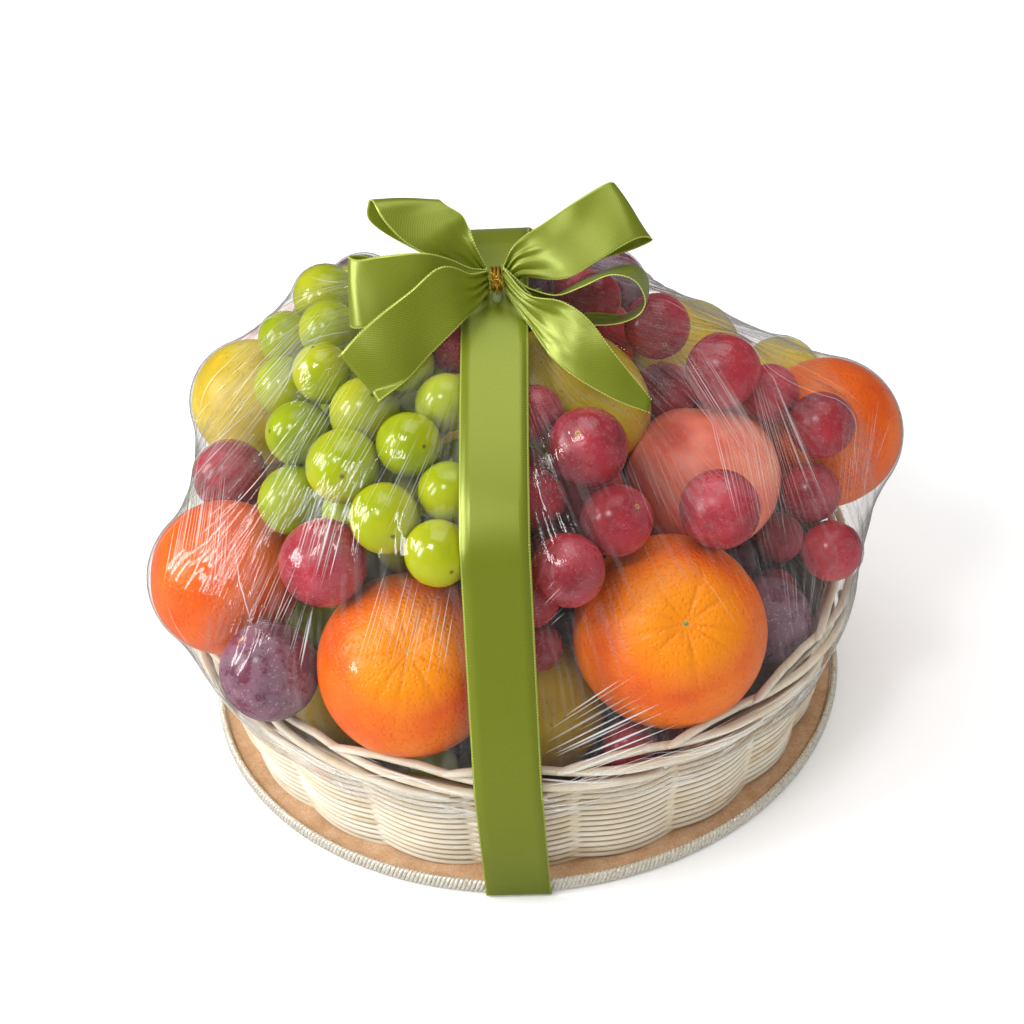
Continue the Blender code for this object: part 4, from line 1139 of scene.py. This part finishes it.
def hullOf(points):
    ordered = sorted(set(points))

    def half(sequence):
        chain = []
        for p in sequence:
            while len(chain) > 1:
                (ax, az), (bx, bz) = chain[-2], chain[-1]
                if (bx - ax) * (p[1] - az) - (bz - az) * (p[0] - ax) > 0:
                    break
                chain.pop()
            chain.append(p)
        return chain[:-1]

    return half(ordered) + half(ordered[::-1])


def bandOutline(skin):
    along = Vector((sin(ribbon["turn"]), cos(ribbon["turn"]), 0))
    across = Vector((cos(ribbon["turn"]), -sin(ribbon["turn"]), 0))
    points = []
    count = 4 * skin.columns
    for tilt in skin.levels:
        for column in range(count):
            turn = -pi + 2 * pi * column / count
            ray = Vector((sin(tilt) * cos(turn), sin(tilt) * sin(turn), cos(tilt)))
            point = film["centre"] + ray * skin.distance(film["centre"] + ray)
            if abs(point.dot(across)) < 0.58 * ribbon["width"]:
                outward = point + ray * ribbon["clear"]
                points.append((outward.dot(along), outward.z))
    corner = board["outer"] + ribbon["clear"]
    for side in (-1, 1):
        points += [(side * corner, board["braidHeight"]), (side * corner, ribbon["under"] + ribbon["fold"])]
        points += [(side * (corner - ribbon["fold"]), ribbon["under"])]
    outline = [Vector((s, 0, z)) for s, z in hullOf(points)]
    kept = [outline[0]]
    for point in outline[1:]:
        if (point - kept[-1]).length > ribbon["outlineStep"]:
            kept.append(point)
    return [along * p.x + Vector((0, 0, p.z)) for p in kept], along, across


def bandPlane(outline, along, across):  # measures steps from the film's centre against the band
    steps = [p - film["centre"] for p in outline]
    polar = sorted((atan2(step.dot(along), step.z), step.length) for step in steps)
    angles, reaches = np.array(polar).T

    def measure(points):  # how far off the band's plane, how far out the band is there, how far the point
        forth, up = points @ np.array(along), points[..., 2]
        bandReach = np.interp(np.arctan2(forth, up), angles, reaches, period=2 * pi)
        return np.abs(points @ np.array(across)), bandReach, np.hypot(forth, up)

    return measure


def ribbonPiece(name, rows, across, closed, material):  # rows of points, with flat places in mm as UV
    width = len(rows[0])
    verts = [p for row in rows for p in row]
    middle = [row[width // 2] for row in rows]
    run = [0.0]
    count = len(rows) if closed else len(rows) - 1
    for i in range(count):
        run.append(run[-1] + (middle[(i + 1) % len(rows)] - middle[i]).length)
    faces, places = [], []
    for i in range(count):
        following = (i + 1) % len(rows)
        for j in range(width - 1):
            faces.append((i * width + j, following * width + j, following * width + j + 1, i * width + j + 1))
            left, right = across[j], across[j + 1]
            near, far = run[i] / mm, run[i + 1] / mm
            places += [(left, near), (left, far), (right, far), (right, near)]
    mesh = bpy.data.meshes.new(name)
    mesh.from_pydata(verts, [], faces)
    layer = mesh.uv_layers.new(name="ribbon")
    layer.data.foreach_set("uv", np.asarray(places, np.float32).ravel())
    mesh.shade_smooth()
    mesh.materials.append(material)
    piece = bpy.data.objects.new(name, mesh)
    bpy.context.scene.collection.objects.link(piece)
    solid = piece.modifiers.new("thickness", "SOLIDIFY")
    solid.thickness = ribbon["thick"]
    solid.offset = 0
    return piece, run[-1]


def liftedOverBand(point, outline, clear):
    if abs(point.x) > 0.65 * ribbon["width"]:
        return point
    top = sorted((p.y, p.z) for p in outline if p.z > 0.5 * knot["place"].z)
    height = float(np.interp(point.y, [y for y, _ in top], [z for _, z in top]))
    return Vector((point.x, point.y, max(point.z, height + clear)))


def edgeRuns(rows):  # both edges of a ribbon, just inside its selvedge
    return [[row[first].lerp(row[second], ribbon["sewnIn"]) for row in rows]
            for first, second in ((0, 1), (-1, -2))]


def layBand(outline, across, material):
    middle = sum(outline, Vector()) / len(outline)
    shares = np.linspace(-0.5, 0.5, ribbon["bandPoints"])
    rows = []
    for i, point in enumerate(outline):
        run = outline[(i + 1) % len(outline)] - outline[i - 1]
        outward = run.cross(across).normalized()
        if outward.dot(point - middle) < 0:
            outward = -outward
        onTheGround = point.z < 1.5 * ribbon["under"]
        point = point + outward * ribbon["lift"]
        if onTheGround:
            point.z = ribbon["under"] - ribbon["lift"]
        rows.append([point + across * ribbon["width"] * s for s in shares])
    piece, length = ribbonPiece("ribbonBand", rows, shares * ribbon["width"] / mm, True, material)
    ridesOn(piece, "satin", "ribbon_band")
    sewn = [row[0].z > ribbon["sewnFrom"] for row in rows]  # none under the board, where it would lift it
    start = next(i for i in range(len(rows)) if sewn[i] and not sewn[i - 1])
    return edgeRuns([row for row in rows[start:] + rows[:start] if row[0].z > ribbon["sewnFrom"]])


def smoothRun(stations, steps):
    data = [np.array(s, float) for s in stations]
    data = [2 * data[0] - data[1]] + data + [2 * data[-1] - data[-2]]
    run = []
    for i in range(1, len(data) - 2):
        for step in range(steps):
            t = step / steps
            p, q, r, s = data[i - 1:i + 3]
            run.append(0.5 * (2 * q + (r - p) * t + (2 * p - 5 * q + 4 * r - s) * t ** 2
                              + (3 * q - p - 3 * r + s) * t ** 3))
    run.append(data[-2])
    return run


def knotStation(side, layer):  # where one layer of ribbon meets the tie: side is -1 left or 1 right
    point = knot["place"] + knot["across"] * knot["layer"] * layer + Vector((side * knot["reach"], 0, 0))
    return (*(point / mm), *knot["side"], knot["pinch"])


bowRuns = dict(
    bow_loop_left_upper=[
        knotStation(-1, -1), (-9, -6, 206, -0.4, -0.2, -0.9, 12), (-16, -3, 213, -0.8, -0.4, -0.4, 18),
        (-22, 0, 218, -0.9, -0.35, -0.15, 24), (-28, 4, 223, -0.95, -0.2, 0, 25),
        (-31, 9, 225, -0.98, -0.1, 0.1, 25), (-33, 14, 221, -0.97, 0.1, 0.1, 25),
        (-34, 17, 213, -0.9, 0.2, -0.1, 24), (-26, 15, 207, -0.6, 0.2, -0.6, 18),
        (-13, 5, 202, -0.2, 0, -0.8, 11), knotStation(-1, -2)],
    bow_loop_left_lower=[
        knotStation(-1, 1), (-9, -16, 202, 0, -0.45, -0.89, 12), (-16, -19, 204, 0, -0.5, -0.86, 19),
        (-27, -22, 206, -0.05, -0.47, -0.87, 25), (-42, -22, 206, -0.08, -0.5, -0.86, 25),
        (-51, -20, 204, -0.1, -0.5, -0.86, 25), (-54, -15, 203, -0.1, -0.5, -0.86, 25),
        (-49, -11, 201, -0.1, -0.5, -0.86, 24), (-37, -10, 198, 0, -0.5, -0.86, 18),
        (-21, -11, 197, 0, -0.45, -0.88, 11), knotStation(-1, 0)],
    bow_tail_left=[
        knotStation(-1, 2), (-9, -21, 202, 0.1, -0.42, -0.9, 13), (-17, -28, 205, 0.25, -0.45, -0.86, 22),
        (-30, -34, 197, 0.15, -0.43, -0.89, 25), (-43, -40, 189, 0.45, -0.5, -0.74, 25),
        (-52, -44, 182, 0.6, -0.53, -0.6, 24)],
    bow_loop_right_upper=[
        knotStation(1, -1), (9, -7, 205, 0.2, -0.45, -0.87, 12), (22, -9, 209, 0.27, -0.78, -0.56, 23),
        (35, -6, 215, 0.21, -0.75, -0.62, 25), (48, -1, 219, 0.35, -0.75, -0.55, 25),
        (53, 3, 216, 0.5, -0.65, -0.56, 25), (51, 8, 211, 0.5, -0.65, -0.56, 25),
        (43, 9, 207, 0.4, -0.65, -0.6, 23), (29, 6, 203, 0.3, -0.6, -0.7, 17),
        (14, 2, 200, 0.2, -0.5, -0.8, 11), knotStation(1, -2)],
    bow_loop_right_lower=[
        knotStation(1, 0), (12, -13, 194, 0.05, 0.4, -0.85, 9), (22, -15, 194, 0.12, 0.75, -0.5, 17),
        (33, -18, 200, 0.15, 0.85, -0.35, 23), (44, -19, 205, 0.15, 0.85, -0.35, 24),
        (52, -20, 203, 0.15, 0.85, -0.35, 24), (55, -20, 194, 0.15, 0.85, -0.35, 24),
        (52, -20, 187, 0.15, 0.85, -0.35, 24), (44, -20, 184, 0.15, 0.85, -0.35, 23),
        (31, -19, 185, 0.15, 0.8, -0.4, 18), (17, -19, 189, 0.1, 0.5, -0.75, 9), knotStation(1, 1)],
    bow_tail_right=[
        knotStation(1, 2), (10, -25, 196, -0.2, 0.1, -0.95, 11), (20, -34, 192, -0.38, -0.4, -0.8, 19),
        (29, -42, 187, -0.35, -0.6, -0.7, 21), (40, -51, 179, -0.2, -0.6, -0.76, 15),
        (52, -56, 169, -0.3, -0.6, -0.7, 5)])
bowNames = dict(bow_loop_left_upper="loopLeftUpper", bow_loop_left_lower="loopLeftLower",
                bow_tail_left="tailLeft", bow_loop_right_upper="loopRightUpper",
                bow_loop_right_lower="loopRightLower", bow_tail_right="tailRight")


def layBowRibbon(node, stations, skin, outline, material):
    shares = np.linspace(-0.5, 0.5, ribbon["bowPoints"])
    draw = np.random.default_rng(len(node))
    first, second = draw.uniform(0, 2 * pi, 2)
    run = smoothRun(stations, ribbon["bowSteps"])
    rows = []
    for i, values in enumerate(run):
        point = Vector(values[:3]) * mm
        side = Vector(values[3:6]).normalized() * values[6] * mm
        ahead = Vector(run[min(i + 1, len(run) - 1)][:3] - run[max(i - 1, 0)][:3])
        outward = ahead.cross(side).normalized()
        fromKnot = min(i, len(run) - 1 - i if "loop" in node else i) / ribbon["bowSteps"]
        slack = max(0, 1 - values[6] * mm / ribbon["width"]) * max(0, 1 - fromKnot / ribbon["pleatRun"])
        broad, narrow = ribbon["pleats"]
        row = []
        for s in shares:  # the ribbon gathers in pleats as it narrows towards the knot
            wave = sin(2 * pi * broad * s + first) + 0.35 * sin(2 * pi * narrow * s + second)
            sway = sin(ribbon["billowTurn"] * i + first + 2.2 * s)
            billow = sway * ribbon["billow"] * (1 - slack) * cos(0.6 * pi * s)
            pleated = point + side * s + outward * (wave * slack * ribbon["pleat"] + billow)
            row.append(skin.lifted(pleated, ribbon["overFilm"]))
        rows.append([liftedOverBand(p, outline, ribbon["overBand"]) for p in row])
    piece, length = ribbonPiece(bowNames[node], rows, shares * ribbon["width"] / mm, False, material)
    ridesOn(piece, "satin", node)
    return edgeRuns(rows)


stitch = dict(spacing=1.15 * mm, length=0.42 * mm, thick=0.3 * mm)
tie = dict(ply=0.26 * mm, lay=2.2 * mm, sides=8, turns=(-1, 0, 1), apart=1.35, wide=5.6, deep=4.1, steps=49,
           cross=((-1.8, 5.8, -3.4), (0.6, 6.6, -1.2), (1.4, 6.7, 0.8), (-0.9, 6.9, 1.6), (-1.5, 6.8, -0.4),
                  (0.4, 7.2, -0.8), (1.9, 7.4, 0.9), (2.9, 7.2, 3.6)),  # millimetres from the knot's middle:
           end=((0.8, 6.4, -2.2), (-0.4, 7.0, 0.2), (0.2, 7.3, 2.4), (-0.8, 7.2, 4.4)))  # right, out, down
stub = dict(out=4.6, down=6.2, wide=2.1, deep=1.9, long=2.4,  # mm, from the knot's middle
            rings=7, columns=14, crease=0.08, creases=4)


def stitchTree(material):
    tree, given = startTree("stitches", {"Spacing": 1.0, "Length": 1.0, "Thick": 1.0, "Material": material})
    runs = addNode(tree, "GeometryNodeMeshToCurve", {0: given["Geometry"]})
    spots = addNode(tree, "GeometryNodeCurveToPoints", {0: runs, "Length": given["Spacing"]}, mode="LENGTH")
    bead = addNode(tree, "GeometryNodeMeshUVSphere", {"Segments": 6, "Rings": 4, "Radius": 1.0})
    shape = addNode(tree, "ShaderNodeCombineXYZ", {0: given["Thick"], 1: given["Thick"], 2: given["Length"]})
    laid = addNode(tree, "GeometryNodeInstanceOnPoints",
                   {0: spots, "Instance": bead.outputs["Mesh"], "Rotation": spots.outputs["Rotation"],
                    "Scale": shape})
    endTree(tree, laid, given)
    return tree


def sewEdges(edges, material):  # the dotted thread along both selvedges
    piece = grow("selvedgeStitches", stitchTree(material),
                 {"Spacing": stitch["spacing"], "Length": stitch["length"], "Thick": stitch["thick"],
                  "Material": material}, lineMesh("edgeLines", edges))
    ridesOn(piece, "satin")


def stitchThread():  # pale yellow-green thread
    material, tree = startMaterial("selvedgeThread")
    thread = addNode(tree, "ShaderNodeBsdfPrincipled", {"Base Color": linear("#C3CC6E"), "Roughness": 0.45})
    return endMaterial(material, thread)


def goldWire():  # bright twisted gold wire
    material, tree = startMaterial("goldWire")
    wire = addNode(tree, "ShaderNodeBsdfPrincipled",
                   {"Base Color": linear("#E2B244"), "Roughness": 0.28, "Metallic": 0.9})
    return endMaterial(material, wire)


def wireTree(material):  # two plies twisted round the line they follow
    sizes = {"Ply": 1.0, "Lay": 1.0, "Material": material}
    tree, given = startTree("twistedWire", sizes)
    runs = addNode(tree, "GeometryNodeMeshToCurve", {0: given["Geometry"]})
    copies = addNode(tree, "GeometryNodeDuplicateElements", {0: runs, "Amount": 2}, domain="SPLINE")
    length = addNode(tree, "GeometryNodeSplineParameter").outputs["Length"]
    sums = mathFor(tree)
    half = sums("MULTIPLY", copies.outputs["Duplicate Index"], 0.5)
    angle = sums("MULTIPLY", sums("ADD", sums("DIVIDE", length, given["Lay"]), half), 2 * pi)
    normal = addNode(tree, "GeometryNodeInputNormal")
    tangent = addNode(tree, "GeometryNodeInputTangent")
    way = addNode(tree, "ShaderNodeVectorRotate", {0: normal, "Axis": tangent, "Angle": angle},
                  rotation_type="AXIS_ANGLE")
    shift = addNode(tree, "ShaderNodeVectorMath", {0: way, "Scale": given["Ply"]}, operation="SCALE")
    laid = addNode(tree, "GeometryNodeSetPosition", {0: copies, "Offset": shift})
    endTree(tree, tube(tree, laid, given["Ply"], tie["sides"], caps=True), given)
    return tree


def tieKnot(material):  # three turns of wire round the gathered ribbons, a crossed front and two short ends
    def spot(right, out, down):
        sideways = knot["place"] + Vector((right, 0, 0)) * mm
        return sideways + knot["across"] * out * mm + knot["side"] * down * mm

    angles = np.linspace(0, 2 * pi, tie["steps"])
    lines = [[spot(tie["apart"] * turn + 0.5 * cos(a), tie["wide"] * cos(a + pi), tie["deep"] * sin(a))
              for a in angles] for turn in tie["turns"]]
    lines += [smoothPoints([spot(*place) for place in run], 6) for run in (tie["cross"], tie["end"])]
    piece = grow("goldTie", wireTree(material), {"Ply": tie["ply"], "Lay": tie["lay"], "Material": material},
                 lineMesh("wireLines", lines))
    ridesOn(piece, "gold_wire", "bow_tie")


def filmStub():  # twisted end of the film, grey-green and glassy
    material, tree = startMaterial("filmStub")
    stub = addNode(tree, "ShaderNodeBsdfPrincipled", {"Base Color": linear("#7F8A58"), "Roughness": 0.2})
    return endMaterial(material, stub)


def placeStub(material):  # the small clear knob that shows under the wire
    middle = knot["place"] + (knot["across"] * stub["out"] + knot["side"] * stub["down"]) * mm
    rings, columns = stub["rings"], stub["columns"]
    verts = []
    for row in range(rings):
        tilt = pi * (row + 0.5) / rings
        for column in range(columns):
            turn = 2 * pi * column / columns
            out = (1 + stub["crease"] * cos(stub["creases"] * turn)) * sin(tilt)
            sideways = Vector((stub["wide"] * out * cos(turn), 0, 0))
            outward = knot["across"] * stub["deep"] * out * sin(turn)
            verts.append(middle + (sideways + outward + knot["side"] * stub["long"] * cos(tilt)) * mm)
    ends = [tuple(range(columns))[::-1], tuple(range((rings - 1) * columns, rings * columns))]
    piece = meshPiece("filmStub", verts, ringFaces(rings, columns) + ends, material)
    body = bmesh.new()
    body.from_mesh(piece.data)
    bmesh.ops.recalc_face_normals(body, faces=body.faces)
    body.to_mesh(piece.data)
    body.free()
    ridesOn(piece, "wrapped_fruit", "bow_tie")


# Studio: pale floor, white room, window light from the left

studio = dict(distance=0.85, elevation=radians(37.3), roll=radians(-4.6), aimX=-0.001, aimZ=0.083,
              focalPixels=2074.0, photoPixels=1024, sensor=36.0, floor=3.0,
              lights=(("windowNear", (-1.25, -0.46, 0.72), (0, 0, 0.1), (0.2, 0.7), 6.6),  # two panes of one
                      ("windowFar", (-1.25, 0.02, 0.72), (0, 0, 0.1), (0.2, 0.7), 6.6),  # window
                      ("ceiling", (0.1, 0.3, 1.7), (0, 0, 0.1), (1.2, 1.2), 6.5),
                      ("skylight", (-0.50, -0.60, 1.20), (0, 0, 0.15), (0.28, 0.28), 3.8)))


def placeCamera():
    elevation = studio["elevation"]
    back = Vector((0, -cos(elevation), sin(elevation)))
    place = Vector((studio["aimX"], 0, studio["aimZ"])) + back * studio["distance"]
    right = Vector((1, 0, 0))
    up = right.cross(-back)
    turnedRight = right * cos(studio["roll"]) + up * sin(studio["roll"])
    turnedUp = -right * sin(studio["roll"]) + up * cos(studio["roll"])
    lens = bpy.data.cameras.new("camera")
    lens.sensor_width = studio["sensor"]
    lens.lens = studio["focalPixels"] / studio["photoPixels"] * studio["sensor"]
    camera = bpy.data.objects.new("camera", lens)
    axes = Matrix((turnedRight, turnedUp, back)).transposed()
    camera.matrix_world = Matrix.Translation(place) @ axes.to_4x4()
    bpy.context.scene.collection.objects.link(camera)
    bpy.context.scene.camera = camera


def addLight(name, place, target, size, power):
    light = bpy.data.lights.new(name, "AREA")
    light.shape = "RECTANGLE"
    light.size, light.size_y = size
    light.energy = power
    lamp = bpy.data.objects.new(name, light)
    lamp.location = place
    lamp.rotation_euler = (Vector(place) - Vector(target)).to_track_quat("Z", "Y").to_euler()
    bpy.context.scene.collection.objects.link(lamp)


def buildStudio():
    world = bpy.data.worlds.new("room")
    world.use_nodes = True
    tree = world.node_tree
    tree.nodes.clear()
    way = addNode(tree, "ShaderNodeTexCoord").outputs["Generated"]
    lean = addNode(tree, "ShaderNodeVectorMath", {0: way, 1: (-0.55, -0.1, 0.83)}, operation="DOT_PRODUCT")
    level = remap(tree, lean.outputs["Value"], (-0.5, 1.0), (0.48, 0.85))
    mirrored = addNode(tree, "ShaderNodeLightPath").outputs["Is Glossy Ray"]
    dimmed = remap(tree, mirrored, after=(1.0, 0.16))  # walls look darker mirrored in film
    toned = mathFor(tree)("MULTIPLY", level, dimmed)
    room = addNode(tree, "ShaderNodeBackground", {0: linear("#FFFFFF"), 1: toned})
    backdrop = addNode(tree, "ShaderNodeBackground", {0: linear("#FFFFFF"), 1: 1.0})
    eye = addNode(tree, "ShaderNodeLightPath").outputs["Is Camera Ray"]
    surround = addNode(tree, "ShaderNodeMixShader", {0: eye, 1: room, 2: backdrop})
    addNode(tree, "ShaderNodeOutputWorld", {0: surround})
    bpy.context.scene.world = world
    for light in studio["lights"]:
        addLight(*light)


def pavePaper():  # pale paper floor, nearly white, with painted shade: reflections see it grey
    material, tree = startMaterial("palePaper")
    place = objectPlace(tree)
    grain = noise(tree, place, 900.0, 2.0)
    colour = ramp(tree, grain, [(0.3, "#FAFAFA"), (0.7, "#FEFEFE")])
    # painted shade: the floor is grey in reflections, white for every other ray
    mirrored = addNode(tree, "ShaderNodeLightPath").outputs["Is Glossy Ray"]
    seen = mixTones(tree, mirrored, colour, linear("#646464"))
    paper = addNode(tree, "ShaderNodeBsdfPrincipled",
                    {"Base Color": seen, "Roughness": 0.9, "Emission Color": linear("#FFFFFF"),
                     "Emission Strength": 0.1})
    endMaterial(material, paper)
    half = studio["floor"]
    floor = meshPiece("floor", [(-half, -half, 0), (half, -half, 0), (half, half, 0), (-half, half, 0)],
                      [(0, 1, 2, 3)], material)


# Everything together

placeCamera()
buildStudio()
pavePaper()
bpy.context.scene.view_settings.view_transform = "Standard"
print("studio ready")

weaveWall(rattan("wovenCane", 0.8))
layBorder(rattan("borderCane", 0.3))
card = kraftBoard()
base = frame["nodes"]["base_board"]
base.data.materials.clear()
base.data.materials.append(card)
layBraid(tinselYarn())
print("basket and board woven")

kinds, laid = [], []
for kind, listed in fruitLists.items():
    for x, y, z, size in listed:
        kinds.append(kind)
        laid.append(np.array((x, y, z, size / 2)) * mm)
settle(laid)
levels = filmLevels()
directions, reach = filmSurface(laid, levels)
skin = Film(levels, reach)
outline, bandAlong, bandAcross = bandOutline(skin)
print("fruit settled, film drawn taut")

wrapped = wrapFilm(laid, levels, reach, bandPlane(outline, bandAlong, bandAcross), clearFilm())
creaseFilmLines(wrapped, creaseFilm())
print("film wrapped")

shapes = dict(mandarins=ballShape("mandarinShape", 44, 96, mandarinShape),
              apples=ballShape("appleShape", 36, 48, appleShape),
              yellowFruit=ballShape("pearShape", 36, 48, pearShape),
              redGrapes=ballShape("redGrapeShape", 24, 32, redGrapeShape),
              plums=ballShape("plumShape", 28, 40, plumShape),
              greenGrapes=ballShape("greenGrapeShape", 24, 32, greenGrapeShape))
skins = dict(mandarins=zest(),
             apples=freckledSkin("coralSkin", "#DC5440", "#F07E62", "#F69C78", "#F0B490", 0.25),
             yellowFruit=freckledSkin("yellowSkin", "#C8A818", "#D6BA28", "#E0CA48", "#96701A", 0.45),
             redGrapes=bloomSkin("redGrapeSkin", "#6C050E", "#980F1F", "#B62030", "#CC8E98", 0.3),
             plums=bloomSkin("plumSkin", "#301020", "#561A30", "#7A2A42", "#B49CAE", 0.5),
             greenGrapes=greenGrapeSkin())
more = fillers(laid, directions, reach, np.random.default_rng(heap["seed"]))
for number, kind in enumerate(fruitLists):
    balls = [ball for name, ball in zip(kinds, laid) if name == kind]
    balls += [ball for name, ball in more if name == kind]
    stretch = {1: (0.95, 0.95, 1.16)} if kind == "yellowFruit" else {}  # the pear is long
    turns = layFruit(kind, balls, stemWays[kind], shapes[kind], skins[kind], 20 + number, stretch)
    if kind == "mandarins":
        layCalyxes(balls, turns, calyxGreen())
    if kind == "greenGrapes":
        layStalks(balls, turns, stalkBark())
print("fruit laid")

cloth = satin()
runs = layBand(outline, bandAcross, cloth)
for node, stations in bowRuns.items():
    runs += layBowRibbon(node, stations, skin, outline, cloth)
sewEdges(runs, stitchThread())
tieKnot(goldWire())
placeStub(filmStub())
print("ribbon tied")
